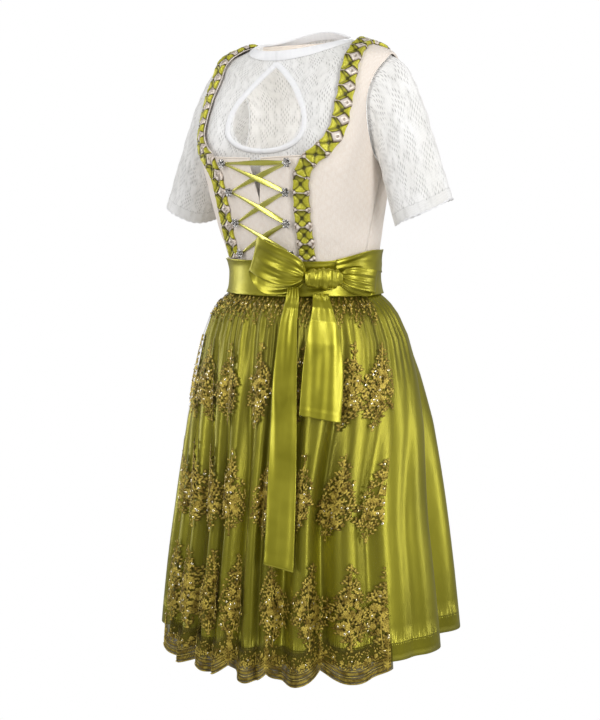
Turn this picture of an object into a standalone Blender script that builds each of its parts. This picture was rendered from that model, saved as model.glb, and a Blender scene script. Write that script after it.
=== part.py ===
"""A dirndl: lace blouse, laced bodice with ruched trim, pleated satin skirt, and an apron whose
sash is tied in a bow. It is worn, with no wearer: every hollow is open and every cloth is a wall.

The frame is the garment's own, in metres. +Z is up, the front faces -Y and the wearer's left is
+X. The origin lies between the shoulders, level with the top of the shoulder straps, where the
wearer carries the dress. Points on the body are given by an angle, turned from the front towards
the wearer's left, and a height.
"""

import math
from collections import namedtuple

import bmesh
import bpy
from mathutils import Vector

MM = 0.001

# ---- Walls and gaps
SEAM_GAP = 0.4 * MM
BLOUSE_WALL = 1.0 * MM
BODICE_WALL = 1.8 * MM
SKIRT_WALL = 1.2 * MM
APRON_WALL = 1.0 * MM
SASH_WALL = 1.2 * MM
TAPE_WALL = 1.4 * MM

# ---- Heights
BLOUSE_HEM = -0.290
WAIST_SEAM = -0.392
SASH_TOP = -0.361
SASH_BOTTOM = -0.418
SKIRT_HEM_FRONT = -0.977
SKIRT_HEM_BACK = -0.972
APRON_HEM = -0.997

# The figure that the garment is cut for: one row for each ring, from the waist to the neck. The
# last two columns are how square the ring is, in front and behind: 2 is an ellipse.
Ring = namedtuple("Ring", "front side back half_width chest spine front_square back_square")
FIGURE = (
    Ring(-0.430, -0.430, -0.430, 0.131, 0.1130, 0.110, 2.0, 2.0),
    Ring(-0.390, -0.390, -0.390, 0.129, 0.1100, 0.107, 2.0, 2.0),
    Ring(-0.352, -0.352, -0.352, 0.133, 0.1115, 0.104, 2.3, 2.0),
    Ring(-0.314, -0.314, -0.314, 0.140, 0.1190, 0.101, 2.7, 2.0),
    Ring(-0.268, -0.268, -0.268, 0.148, 0.1280, 0.098, 3.0, 2.1),
    Ring(-0.232, -0.232, -0.232, 0.153, 0.1350, 0.097, 3.2, 2.2),
    Ring(-0.200, -0.200, -0.200, 0.157, 0.1400, 0.099, 3.4, 2.4),
    Ring(-0.155, -0.155, -0.155, 0.163, 0.1370, 0.104, 3.4, 2.7),
    Ring(-0.108, -0.092, -0.096, 0.168, 0.1170, 0.106, 2.9, 2.7),
    Ring(-0.078, -0.052, -0.056, 0.1735, 0.1000, 0.100, 2.3, 2.3),
    Ring(-0.058, -0.021, -0.018, 0.171, 0.0910, 0.088, 1.9, 1.9),
    Ring(-0.038, -0.001, 0.006, 0.118, 0.0860, 0.072, 1.9, 1.9),
    Ring(-0.0165, 0.008, 0.028, 0.086, 0.0830, 0.060, 2.0, 2.0),
)

# How far the blouse's outer face lies behind the bodice's, all round.
BLOUSE_INSET = 5.5 * MM
# How much further it lies behind the bodice's face between the two cups: height, hollow.
HOLLOW = ((-0.30, 0.010), (-0.25, 0.014), (-0.19, 0.018), (-0.14, 0.014), (-0.10, 0.005), (-0.06, 0.0))

# The seam between the centre and side front panels, from the waist up: angle, height.
PRINCESS_LINE = (
    (38.0, -0.392), (36.6, -0.350), (35.0, -0.319), (33.7, -0.295),
    (33.1, -0.270), (32.7, -0.246), (33.0, -0.222), (33.6, -0.1915),
)
# The middle of the ruched trim, from where it leaves that seam over the shoulder to the back.
NECKLINE = (
    (37.4, -0.199), (44.6, -0.181), (50.2, -0.160), (53.5, -0.139), (55.9, -0.114), (58.9, -0.089),
    (62.6, -0.060), (67.0, -0.034), (76.0, -0.014), (90.0, -0.002), (102.0, -0.005), (116.0, -0.021),
    (132.0, -0.044), (150.0, -0.065), (166.0, -0.075), (180.0, -0.078),
)

# ---- Ruched trim, and how far the panels run under it beyond its middle
TRIM_WIDTH = 0.029
STRAP_EDGE = 0.0135
TRIM_PITCH = 0.0275
TRIM_EDGE = 1.6 * MM
TRIM_PUFF = 5.2 * MM
TRIM_PINCH = 2.2 * MM
TRIM_CLEAR = 1.1 * MM

# ---- Closure and lacing
GAP_TOP = 0.011
GAP_CLOSED_AT = -0.275
HOOK_HEIGHTS = (-0.202, -0.248, -0.2985, -0.349)
HOOK_ANGLES = (25.2, 23.4, 22.8, 25.0)
# How far each hook's foot stands off the figure: the panel's flats lie a little inside it.
HOOK_SEATS = (-0.3 * MM, 0.3 * MM, 0.3 * MM, 0.7 * MM)
HOOK_RADIUS = 0.0078
HOOK_STEM = 0.0030
HOOK_UNDER = 0.0048
HOOK_HEIGHT = 0.0092
LACE_WIDTH = 0.0070
LACE_WALL = 0.9 * MM
LACE_LOW = 1.7 * MM
LACE_HIGH = 3.6 * MM

PRINCESS_ROWS = 8
PANEL_ROWS = 17

# The side seam below the armhole: height, angle
SIDE_SEAM = ((-0.392, 82.0), (-0.300, 84.0), (-0.230, 88.0), (-0.203, 90.0))

# ---- Armholes, as ovals about the side line: reach to the front, to the back, bottom, top
ARMHOLE = namedtuple("Armhole", "front back bottom top")(20.0, 19.0, -0.203, -0.0235)
ARMHOLE_EASE = 0.004

# ---- Sleeve
CUFF_CENTRE = Vector((0.238, -0.008, -0.280))
CUFF_ACROSS = 0.046
CUFF_DEEP = 0.047
CUFF_SLOPE = Vector((0.40, 0.22, 0.0))
ARM_TILT = math.radians(21)

# ---- Keyhole of the blouse front: half width by height above its foot
KEYHOLE_FOOT = -0.177
KEYHOLE_TOP = -0.043
KEYHOLE_HALF_WIDTH = 0.0655
BINDING_WIDTH = 0.010
BINDING_CLEAR = 1.5 * MM
NECK_BAND = 0.015

# Skirt: one row for each hoop of its outline. It hangs a little to the wearer's left and back.
Hoop = namedtuple("Hoop", "height half_width front back shift")
SKIRT = (
    Hoop(-0.3926, 0.1295, 0.1105, 0.1075, 0.000),
    Hoop(-0.418, 0.1325, 0.1145, 0.1115, 0.000),
    Hoop(-0.434, 0.150, 0.130, 0.128, 0.000),
    Hoop(-0.455, 0.166, 0.142, 0.143, 0.000),
    Hoop(-0.490, 0.182, 0.152, 0.160, 0.001),
    Hoop(-0.554, 0.200, 0.163, 0.183, 0.002),
    Hoop(-0.635, 0.218, 0.176, 0.202, 0.004),
    Hoop(-0.757, 0.238, 0.191, 0.219, 0.004),
    Hoop(-0.880, 0.255, 0.204, 0.233, 0.003),
    Hoop(-1.020, 0.268, 0.214, 0.244, 0.003),
)
SKIRT_COLUMNS = 120
GATHER_DEPTH = 1.6 * MM
SKIRT_SQUEEZE = 18.0

# Folds of the skirt, from the middle of the back round by the wearer's right:
# angle of the ridge at the waist, depth of the hollow after it at the hem.
Fold = namedtuple("Fold", "angle depth")
FOLDS = (
    Fold(-174, 0.022), Fold(-153, 0.027), Fold(-132, 0.020), Fold(-117, 0.030), Fold(-93, 0.023),
    Fold(-75, 0.026), Fold(-57, 0.015), Fold(-42, 0.026), Fold(-24, 0.018), Fold(-9, 0.024),
    Fold(12, 0.014), Fold(24, 0.022), Fold(45, 0.028), Fold(69, 0.012), Fold(87, 0.006),
    Fold(102, 0.038), Fold(132, 0.024), Fold(150, 0.028), Fold(168, 0.016),
)

# ---- Apron
# Its two edges, counted in columns of the skirt from the middle of the front.
APRON_EDGES = (-20, 28)
APRON_CLEAR = 1.9 * MM
APRON_LIFT = 4.4 * MM
SCALLOPS = 5
SCALLOP_DEPTH = 0.019

# ---- Sash
SASH_EASE = 3.4 * MM
SASH_FLARE = 3.6 * MM
SASH_RISE = 0.016

# ---- Bow: x runs along the sash to the wearer's left, y out and z up, from the knot's middle
BOW_ANGLE = math.radians(47)
BOW_HEIGHT = -0.388
BOW_ROUND = 0.125
KNOT_LENGTH = 0.060
KNOT_TALL = 0.040
KNOT_DEEP = 0.026

# A loop's ribbon, out from the knot along its front and back along its rear: the share of the
# loop's length, the share of its width, and how far it stands off the sash.
LoopRow = namedtuple("LoopRow", "share width out")
LOOP = (
    LoopRow(0.00, 0.30, 0.0150),
    LoopRow(0.14, 0.74, 0.0215),
    LoopRow(0.38, 0.94, 0.0255),
    LoopRow(0.70, 1.00, 0.0245),
    LoopRow(0.92, 1.00, 0.0200),
    LoopRow(1.00, 1.00, 0.0150),
    LoopRow(0.93, 1.00, 0.0100),
    LoopRow(0.70, 0.98, 0.0078),
    LoopRow(0.38, 0.90, 0.0076),
    LoopRow(0.14, 0.66, 0.0078),
    LoopRow(0.00, 0.26, 0.0092),
)
# Each loop: its side, length, width, the height where it leaves the knot, and its rise
LoopSize = namedtuple("LoopSize", "side length width start rise")
LOOP_RIGHT = LoopSize(-1, 0.088, 0.056, 0.003, math.radians(22))
LOOP_LEFT = LoopSize(1, 0.060, 0.036, 0.005, math.radians(-16))

# =====================================================================
# The figure and what is measured on it
# =====================================================================


def spline(rows, t):
    """The row of numbers at t along rows, by a Catmull-Rom curve through them."""
    i = min(max(int(math.floor(t)), 0), len(rows) - 2)
    f = t - i
    a, b, c, d = (rows[min(max(k, 0), len(rows) - 1)] for k in (i - 1, i, i + 1, i + 2))
    return [
        0.5 * (2 * q + (r - p) * f + (2 * p - 5 * q + 4 * r - s) * f**2 + (3 * q - p - 3 * r + s) * f**3)
        for p, q, r, s in zip(a, b, c, d)
    ]


def table(rows, x):
    """The second column at x of the first, in straight lines between the rows."""
    ordered = sorted(rows)
    if x <= ordered[0][0]:
        return ordered[0][1]
    for (x0, y0), (x1, y1) in zip(ordered, ordered[1:]):
        if x <= x1:
            return y0 + (y1 - y0) * (x - x0) / (x1 - x0)
    return ordered[-1][1]


def smooth(edge0, edge1, x):
    """0 before edge0, 1 after edge1, and a soft step between."""
    t = min(max((x - edge0) / (edge1 - edge0), 0.0), 1.0)
    return t * t * (3 - 2 * t)


def figure_at(angle, level):
    """A point of the figure, at an angle in radians and a level counted in rings."""
    front, side, back, wide, chest, spine, front_square, back_square = spline(FIGURE, level)
    s, c = math.sin(angle), math.cos(angle)
    deep, end, square = (chest, front, front_square) if c > 0 else (spine, back, back_square)
    reach = ((abs(s) / wide) ** square + (abs(c) / deep) ** square) ** (-1 / square)
    return Vector((reach * s, -reach * c, side + (end - side) * abs(c) ** 1.3))


def level_of(angle, height):
    """The level at which the figure has that height, found by halving."""
    low, high = 0.0, len(FIGURE) - 1.0
    for _ in range(30):
        middle = (low + high) / 2
        if figure_at(angle, middle).z < height:
            low = middle
        else:
            high = middle
    return (low + high) / 2


def tangents(angle, level):
    """How the figure's point moves for a step of angle and for a step of level."""
    step = 0.01
    across = (figure_at(angle + step, level) - figure_at(angle - step, level)) / (2 * step)
    up = (figure_at(angle, level + step) - figure_at(angle, level - step)) / (2 * step)
    return across, up


def normal_at(angle, level):
    across, up = tangents(angle, min(level, len(FIGURE) - 1.02))
    return across.cross(up).normalized()


def on_figure(angle, level, out=0.0):
    return figure_at(angle, level) + normal_at(angle, level) * out


def slide(angle, level, step):
    """The angle and level reached by a step, a vector, taken along the figure's surface."""
    across, up = tangents(angle, level)
    a, b, c = across.dot(across), across.dot(up), up.dot(up)
    p, q = across.dot(step), up.dot(step)
    size = a * c - b * b
    return angle + (p * c - q * b) / size, level + (a * q - b * p) / size


def blouse_at(angle, level, out=0.0):
    """A point of the blouse, which lies inside the bodice and is flatter between the cups."""
    point = figure_at(angle, level)
    width = 1 - smooth(math.radians(24), math.radians(52), abs(angle))
    inset = BLOUSE_INSET + table(HOLLOW, point.z) * width
    return point + normal_at(angle, level) * (out - inset)


def armhole_angle(height, towards_front, ease=0.0):
    """How far from the side line the armhole's edge is at a height, in radians. Zero outside it."""
    bottom, top = ARMHOLE.bottom - ease, ARMHOLE.top + ease
    middle, half = (bottom + top) / 2, (top - bottom) / 2
    share = max(1 - ((height - middle) / half) ** 2, 0.0)
    reach = ARMHOLE.front if towards_front else ARMHOLE.back
    return math.radians(reach + ease * 400) * share ** (0.75 if height > middle else 0.5)


# =====================================================================
# Meshes
# =====================================================================


def material(name, colour, roughness, metallic=0.0):
    made = bpy.data.materials.new(name)
    made.use_nodes = True
    shader = made.node_tree.nodes["Principled BSDF"]
    shader.inputs["Base Color"].default_value = (*colour, 1.0)
    shader.inputs["Roughness"].default_value = roughness
    shader.inputs["Metallic"].default_value = metallic
    return made


def new_object(name, points, faces, finish, turned=False):
    """An object from points and faces. turned faces the other way round."""
    if turned:
        faces = [tuple(reversed(face)) for face in faces]
    mesh = bpy.data.meshes.new(name)
    mesh.from_pydata([tuple(p) for p in points], [], faces)
    merge = bmesh.new()
    merge.from_mesh(mesh)
    bmesh.ops.remove_doubles(merge, verts=merge.verts, dist=0.02 * MM)
    merge.to_mesh(mesh)
    merge.free()
    mesh.shade_smooth()
    mesh.set_sharp_from_angle(angle=math.radians(50))
    made = bpy.data.objects.new(name, mesh)
    bpy.context.scene.collection.objects.link(made)
    made.data.materials.append(finish)
    return made


def grid_faces(rows, columns, closed=False, first=0):
    """The quads of a grid that is stored row by row, with its columns joined round if closed."""
    last = columns if closed else columns - 1
    return [
        (
            first + i * columns + j,
            first + i * columns + (j + 1) % columns,
            first + (i + 1) * columns + (j + 1) % columns,
            first + (i + 1) * columns + j,
        )
        for i in range(rows - 1)
        for j in range(last)
    ]


def cloth(name, grids, wall, finish, closed=False, turned=False):
    """A cloth wall: one or more grids of its outer points, sewn where they meet, thickened inwards."""
    points, faces = [], []
    for grid in grids:
        faces += grid_faces(len(grid), len(grid[0]), closed, len(points))
        points += [p for row in grid for p in row]
    made = new_object(name, points, faces, finish, turned)
    thick = made.modifiers.new("wall", "SOLIDIFY")
    thick.thickness = wall
    thick.offset = -1.0
    thick.use_even_offset = True
    thick.use_rim = True
    return made


def tube(name, rings, finish, turned=False):
    """A closed solid swept through rings of the same number of points, with flat ends."""
    count = len(rings[0])
    points = [p for ring in rings for p in ring]
    faces = grid_faces(len(rings), count, closed=True)
    last = (len(rings) - 1) * count
    faces.append(tuple(reversed(range(count))))
    faces.append(tuple(last + k for k in range(count)))
    return new_object(name, points, faces, finish, turned)


def loop_tube(name, rings, finish, turned=False):
    """A closed solid swept through rings that come back to the first."""
    count = len(rings[0])
    points = [p for ring in rings for p in ring]
    faces = grid_faces(len(rings) + 1, count, closed=True)
    faces = [tuple(k % len(points) for k in face) for face in faces]
    return new_object(name, points, faces, finish, turned)


def mirrored(grid):
    """The grid on the wearer's other side, with its columns turned so that it still faces out."""
    return [[Vector((-p.x, p.y, p.z)) for p in reversed(row)] for row in grid]


def mirrored_rings(rings):
    return [[Vector((-p.x, p.y, p.z)) for p in reversed(ring)] for ring in rings]


# =====================================================================
# Lines on the figure
# =====================================================================


def sampled(line, count):
    """count points of angle and level, evenly along a line given by angle in degrees and height."""
    fine = [spline(line, k * (len(line) - 1) / 240) for k in range(241)]
    marks = [(math.radians(a), level_of(math.radians(a), z)) for a, z in fine]
    places = [figure_at(*m) for m in marks]
    run = [0.0]
    for p, q in zip(places, places[1:]):
        run.append(run[-1] + (q - p).length)
    found = []
    for k in range(count):
        want = run[-1] * k / (count - 1)
        i = next(i for i in range(1, len(run)) if run[i] >= want - 1e-9)
        f = (want - run[i - 1]) / (run[i] - run[i - 1])
        found.append(tuple(a + (b - a) * f for a, b in zip(marks[i - 1], marks[i])))
    return found


def line_length(line):
    marks = sampled(line, 121)
    return sum((figure_at(*b) - figure_at(*a)).length for a, b in zip(marks, marks[1:]))


def beside(marks, distance):
    """The line that runs beside another at a distance along the figure, to its left going on."""
    moved = []
    for k, mark in enumerate(marks):
        before, after = marks[max(k - 1, 0)], marks[min(k + 1, len(marks) - 1)]
        ahead = (figure_at(*after) - figure_at(*before)).normalized()
        side = normal_at(*mark).cross(ahead)
        moved.append(slide(*mark, side * distance))
    return moved


def patch(left, right, columns, out=0.0, point=None):
    """A grid between two lines of angle and level, row by row."""
    point = point or on_figure
    return [
        [
            point(a0 + (a1 - a0) * k / (columns - 1), l0 + (l1 - l0) * k / (columns - 1), out)
            for k in range(columns)
        ]
        for (a0, l0), (a1, l1) in zip(left, right)
    ]


# =====================================================================
# Blouse
# =====================================================================


def blouse_levels(angle, bottom, count, top_level):
    low = level_of(angle, bottom)
    return [low + (top_level - low) * k / (count - 1) for k in range(count)]


def blouse_edge(level, front):
    """The angle of the blouse's side seam, armhole or shoulder seam at a level."""
    side = math.pi / 2
    for _ in range(8):
        height = figure_at(side, level).z
        reach = armhole_angle(height, front, -ARMHOLE_EASE)
        side = math.pi / 2 - reach if front else math.pi / 2 + reach
    gap = SEAM_GAP / 0.15
    return side - gap if front else side + gap


NECK_LEVEL = len(FIGURE) - 1.0


def blouse_front(finish):
    top = NECK_LEVEL - 0.06
    levels = blouse_levels(math.pi / 2, BLOUSE_HEM, 14, top)
    columns = 21
    grid = []
    for level in levels:
        edge = blouse_edge(level, True)
        grid.append([blouse_at(-edge + 2 * edge * k / (columns - 1), level) for k in range(columns)])
    made = cloth("blouse_front", [grid], BLOUSE_WALL, finish)
    cut = made.modifiers.new("keyhole", "BOOLEAN")
    cut.operation = "DIFFERENCE"
    cut.object = keyhole_cutter()
    return made


def blouse_back(finish):
    top = NECK_LEVEL - 0.06
    levels = blouse_levels(math.pi / 2, BLOUSE_HEM, 11, top)
    columns = 17
    grid = []
    for level in levels:
        edge = blouse_edge(level, False)
        grid.append(
            [blouse_at(edge + (2 * math.pi - 2 * edge) * k / (columns - 1), level) for k in range(columns)]
        )
    return cloth("blouse_back", [grid], BLOUSE_WALL, finish)


def keyhole_outline(count, grow=0.0):
    """The keyhole's teardrop, seen from the front, as x and z. grow moves it outwards."""
    tall = KEYHOLE_TOP - KEYHOLE_FOOT
    outline = []
    for k in range(count):
        turn = 2 * math.pi * k / count
        rise = (1 - math.cos(turn)) / 2
        wide = KEYHOLE_HALF_WIDTH * math.sin(turn) * (1 - rise) ** 0.5 * 1.30
        outline.append(Vector((wide, 0, KEYHOLE_FOOT + tall * rise)))
    if grow:
        return [
            p + (outline[k - 1] - outline[(k + 1) % count]).cross(Vector((0, 1, 0))).normalized() * grow
            for k, p in enumerate(outline)
        ]
    return outline


def keyhole_cutter():
    outline = keyhole_outline(28)
    front, rear = -0.20, -0.045
    rings = [[Vector((p.x, y, p.z)) for p in outline] for y in (front, rear)]
    made = tube("keyhole_cutter", rings, material("cutter", (1, 0, 0), 0.5), turned=True)
    made.hide_render = True
    made.display_type = "WIRE"
    return made


def blouse_facing(x, z, out):
    """The point of the blouse front that lies behind x and z, moved out."""
    angle = math.atan2(x, 0.11)
    for _ in range(6):
        level = level_of(angle, z)
        point = blouse_at(angle, level)
        angle = math.atan2(x, -point.y)
    return blouse_at(angle, level, out)


def keyhole_binding(finish):
    count = 36
    low, high = BINDING_CLEAR, BINDING_CLEAR + TAPE_WALL
    inner, outer = keyhole_outline(count, 0.0005), keyhole_outline(count, BINDING_WIDTH)
    rings = []
    for a, b in zip(inner, outer):
        middle = (a + b) / 2
        rings.append(
            [
                blouse_facing(a.x, a.z, low),
                blouse_facing(b.x, b.z, low),
                blouse_facing(b.x, b.z, high),
                blouse_facing(middle.x, middle.z, high + 0.5 * MM),
                blouse_facing(a.x, a.z, high),
            ]
        )
    return loop_tube("blouse_keyhole_binding", rings, finish, turned=True)


def below(angle, level, distance):
    """The level reached by going down the figure from another by a distance."""
    step, gone, last = 0.02, 0.0, figure_at(angle, level)
    while gone < distance:
        level -= step
        place = figure_at(angle, level)
        gone += (place - last).length
        last = place
    return level


def neck_band(finish):
    count = 32
    low, high = 0.9 * MM, 0.9 * MM + TAPE_WALL
    rings = []
    for k in range(count):
        angle = 2 * math.pi * k / count
        angle = angle if angle <= math.pi else angle - 2 * math.pi
        middle, foot = (below(angle, NECK_LEVEL, NECK_BAND * share) for share in (0.5, 1.0))
        rings.append(
            [
                blouse_at(angle, foot, low),
                blouse_at(angle, foot, high),
                blouse_at(angle, middle, high + 0.5 * MM),
                blouse_at(angle, NECK_LEVEL, high) + Vector((0, 0, 1.0 * MM)),
                blouse_at(angle, NECK_LEVEL, low) + Vector((0, 0, 1.0 * MM)),
                blouse_at(angle, middle, low),
            ]
        )
    return loop_tube("blouse_neck_band", rings, finish, turned=True)


def armhole_ring(count):
    """The blouse's armhole on the wearer's left, from the top round by the front."""
    middle = (ARMHOLE.bottom + ARMHOLE.top) / 2
    half = (ARMHOLE.top - ARMHOLE.bottom) / 2 - ARMHOLE_EASE
    ring = []
    for k in range(count):
        turn = 2 * math.pi * k / count
        height = middle + half * math.cos(turn)
        front = math.sin(turn) >= 0
        reach = armhole_angle(height, front, -ARMHOLE_EASE)
        angle = math.pi / 2 - reach if front else math.pi / 2 + reach
        ring.append(blouse_at(angle, level_of(angle, height), 1.6 * MM))
    return ring


def arm_axis():
    return Vector((math.sin(ARM_TILT), 0, -math.cos(ARM_TILT)))


def cuff_ring(count):
    """The cuff's edge, which slopes down to the inside and the front."""
    ring = []
    for k in range(count):
        turn = 2 * math.pi * k / count
        around = Vector((CUFF_ACROSS * math.cos(turn), -CUFF_DEEP * math.sin(turn), 0))
        around.z = CUFF_SLOPE.dot(around) + 0.0012 * math.cos(4 * turn)
        ring.append(CUFF_CENTRE + around)
    return ring


def sleeve_grid(count=20, rows=9):
    """Rings of the left sleeve: each column is a curve from the armhole to the cuff."""
    start, end, down = armhole_ring(count), cuff_ring(count), arm_axis()
    rings = []
    for i in range(rows):
        t = (i / (rows - 1)) ** 1.2
        ring = []
        for k in range(count):
            top = (1 + math.cos(2 * math.pi * k / count)) / 2
            p0, p3 = start[k], end[k]
            p1 = p0 + Vector((0.012 + 0.034 * top, 0, -0.010 + 0.006 * top))
            p2 = p3 - down * (0.050 + 0.070 * top)
            s = 1 - t
            ring.append(p0 * s**3 + p1 * 3 * s * s * t + p2 * 3 * s * t * t + p3 * t**3)
        rings.append(ring)
    return rings


def sleeves(finish):
    rings = sleeve_grid()
    cloth("blouse_sleeve_left", [rings], BLOUSE_WALL, finish, closed=True, turned=True)
    cloth("blouse_sleeve_right", [mirrored_rings(rings)], BLOUSE_WALL, finish, closed=True, turned=True)


# =====================================================================
# Bodice
# =====================================================================


def closure_x(height):
    """Half the gap between the two front edges."""
    open_share = smooth(GAP_CLOSED_AT, NECKLINE[0][1], height)
    return SEAM_GAP + GAP_TOP * open_share


def bodice_centre(finish):
    columns = 6
    seam = beside(sampled(PRINCESS_LINE, PRINCESS_ROWS), SEAM_GAP)
    grid = []
    for angle, level in seam:
        share = (level - seam[0][1]) / (seam[-1][1] - seam[0][1])
        height = figure_at(0.0, level).z - 0.003 * smooth(0.6, 1.0, share)
        centre = (closure_x(height) / 0.14, level_of(0.0, height))
        grid.append(patch([centre], [(angle, level)], columns)[0])
    cloth("bodice_centre_left", [grid], BODICE_WALL, finish)
    cloth("bodice_centre_right", [mirrored(grid)], BODICE_WALL, finish)


def side_line(front, rows, ease):
    """Side seam from the waist to the armhole, then the armhole's edge to the shoulder tip."""
    low = level_of(math.pi / 2, WAIST_SEAM)
    high = level_of(math.pi / 2, ARMHOLE.top + 0.0015)
    gap = SEAM_GAP / 0.14
    line = []
    for k in range(rows):
        level = low + (high - low) * k / (rows - 1)
        height = figure_at(math.pi / 2, level).z
        reach = armhole_angle(height, front, ease) + gap
        seam = math.radians(table(SIDE_SEAM, height))
        line.append((seam - reach if front else seam + reach, level))
    return line


def shoulder_level():
    """The level at which the strap's inner edge crosses the shoulder."""
    level = level_of(math.pi / 2, NECKLINE[9][1])
    return slide(math.pi / 2, level, Vector((-STRAP_EDGE, 0, 0)))[1]


def shoulder_ends(inner, outer, gap):
    """Both edges of a strap end at the shoulder seam, with more room at its sharper outer end."""
    inner[-1] = (math.pi / 2 + gap / 0.12, shoulder_level())
    outer[-1] = (math.pi / 2 + gap / 0.06, outer[-1][1])


def bodice_side(finish):
    """The side front panels, each with the front half of its shoulder strap."""
    low = beside(sampled(PRINCESS_LINE, PRINCESS_ROWS), -SEAM_GAP)
    front_neck = [mark for mark in NECKLINE if mark[0] <= 90.0]
    edge = beside(sampled(front_neck, PANEL_ROWS - len(low) + 1), STRAP_EDGE)
    inner, outer = low + edge[1:], side_line(True, PANEL_ROWS, 0.002)
    shoulder_ends(inner, outer, -SEAM_GAP)
    grid = patch(inner, outer, 8)
    cloth("bodice_side_left", [grid], BODICE_WALL, finish)
    cloth("bodice_side_right", [mirrored(grid)], BODICE_WALL, finish)


def bodice_back(finish):
    """The back, cut on the fold, with the back half of each strap."""
    low_rows = 11
    back_neck = [mark for mark in reversed(NECKLINE) if mark[0] >= 90.0]
    edge = beside(sampled(back_neck, PANEL_ROWS - low_rows + 1), -STRAP_EDGE)
    edge[0] = (math.pi, edge[0][1])
    start = level_of(math.pi, WAIST_SEAM)
    middle = [(math.pi, start + (edge[0][1] - start) * k / (low_rows - 1)) for k in range(low_rows)]
    inner, outer = middle + edge[1:], side_line(False, PANEL_ROWS, 0.002)
    shoulder_ends(inner, outer, SEAM_GAP)
    grid = patch(outer, inner, 8)
    cloth("bodice_back", [grid, mirrored(grid)], BODICE_WALL, finish)


# =====================================================================
# Ruched trim, hooks and lacing
# =====================================================================


def trim_rings(line):
    """Rings across the trim: it is pinched at each unit's middle and puffed between."""
    units = round(line_length(line) / TRIM_PITCH)
    marks = sampled(line, 2 * units + 1)
    half = TRIM_WIDTH / 2
    left, right = beside(marks, half), beside(marks, -half)
    near_left, near_right = beside(marks, half * 0.5), beside(marks, -half * 0.5)
    rings = []
    for k, mark in enumerate(marks):
        middle, flank = (TRIM_PINCH, TRIM_PUFF) if k % 2 else (TRIM_PUFF, TRIM_PINCH)
        rings.append(
            [
                on_figure(*left[k], TRIM_CLEAR),
                on_figure(*left[k], TRIM_CLEAR + TRIM_EDGE),
                on_figure(*near_left[k], TRIM_CLEAR + flank),
                on_figure(*mark, TRIM_CLEAR + middle),
                on_figure(*near_right[k], TRIM_CLEAR + flank),
                on_figure(*right[k], TRIM_CLEAR + TRIM_EDGE),
                on_figure(*right[k], TRIM_CLEAR),
                on_figure(*mark, TRIM_CLEAR),
            ]
        )
    return marks, rings


def trims(finish):
    """One length up each side of the front to the shoulder, and one round the back of the neck."""
    seam = [spline(PRINCESS_LINE, k / 4) for k in range(4 * 6 + 1)]
    low = [tuple(row) for row in seam if row[1] > SASH_TOP + 0.006]
    line = [(low[0][0], SASH_TOP + 0.0034)] + low + list(NECKLINE)
    marks, rings = trim_rings(line)
    split = min(range(len(marks)), key=lambda k: abs(marks[k][0] - math.pi / 2))
    front, half = rings[: split + 1], rings[split:]
    tube("trim_front_left", front, finish)
    tube("trim_front_right", mirrored_rings(front), finish)
    half[0] = [p + (q - p).normalized() * 2 * SEAM_GAP for p, q in zip(half[0], half[1])]
    half[-1] = [Vector((0, p.y, p.z)) for p in half[-1]]
    other = [[Vector((-p.x, p.y, p.z)) for p in ring] for ring in reversed(half[:-1])]
    tube("trim_back", half + other, finish)


def hook(name, angle, height, seat, side, finish):
    """A lacing hook: a round stem with a six-petalled rosette on it."""
    level = level_of(angle, height)
    place, out = figure_at(angle, level), normal_at(angle, level)
    place.x *= side
    out.x *= side
    turn = out.to_track_quat("Z", "Y").to_matrix()
    profile = (
        (HOOK_STEM, seat, 0.0),
        (HOOK_STEM, HOOK_UNDER, 0.0),
        (HOOK_RADIUS, HOOK_UNDER + 0.8 * MM, 0.12),
        (HOOK_RADIUS * 0.86, HOOK_HEIGHT - 1.6 * MM, 0.12),
        (HOOK_RADIUS * 0.42, HOOK_HEIGHT, 0.0),
    )
    count = 12
    rings = []
    for radius, rise, petal in profile:
        ring = []
        for k in range(count):
            spin = 2 * math.pi * k / count
            reach = radius * (1 + petal * math.cos(6 * spin))
            ring.append(place + turn @ Vector((reach * math.cos(spin), reach * math.sin(spin), rise)))
        rings.append(ring)
    tube(name, rings, finish)


def hooks(finish):
    for side, word in ((1, "left"), (-1, "right")):
        for k, (height, angle, seat) in enumerate(zip(HOOK_HEIGHTS, HOOK_ANGLES, HOOK_SEATS), 1):
            hook(f"hook_{word}_{k}", math.radians(angle), height, seat, side, finish)


def lace_run(start, end, rise_start, rise_end, count=9):
    """One length of the lacing ribbon, flat on the bodice, from stem to stem."""
    (a0, z0), (a1, z1) = start, end
    across = Vector((a1 - a0, z1 - z0, 0))
    length = math.hypot((a1 - a0) * 0.145, z1 - z0)
    trim = (HOOK_STEM + 0.9 * MM) / length
    points = []
    for k in range(count):
        t = trim + (1 - 2 * trim) * k / (count - 1)
        angle, height = a0 + across.x * t, z0 + across.y * t
        level = level_of(abs(angle), height)
        points.append((abs(angle), level, math.copysign(1, angle) if angle else 1, t))
    places = []
    for angle, level, side, t in points:
        p, n = figure_at(angle, level), normal_at(angle, level)
        places.append((Vector((p.x * side, p.y, p.z)), Vector((n.x * side, n.y, n.z)), t))
    rings = []
    for k, (p, n, t) in enumerate(places):
        ahead = (places[min(k + 1, count - 1)][0] - places[max(k - 1, 0)][0]).normalized()
        side = n.cross(ahead).normalized() * LACE_WIDTH / 2
        rise = rise_start + (rise_end - rise_start) * t
        low, high = p + n * (rise - LACE_WALL / 2), p + n * (rise + LACE_WALL / 2)
        rings.append([low + side, high + side, high - side, low - side])
    return rings


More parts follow.
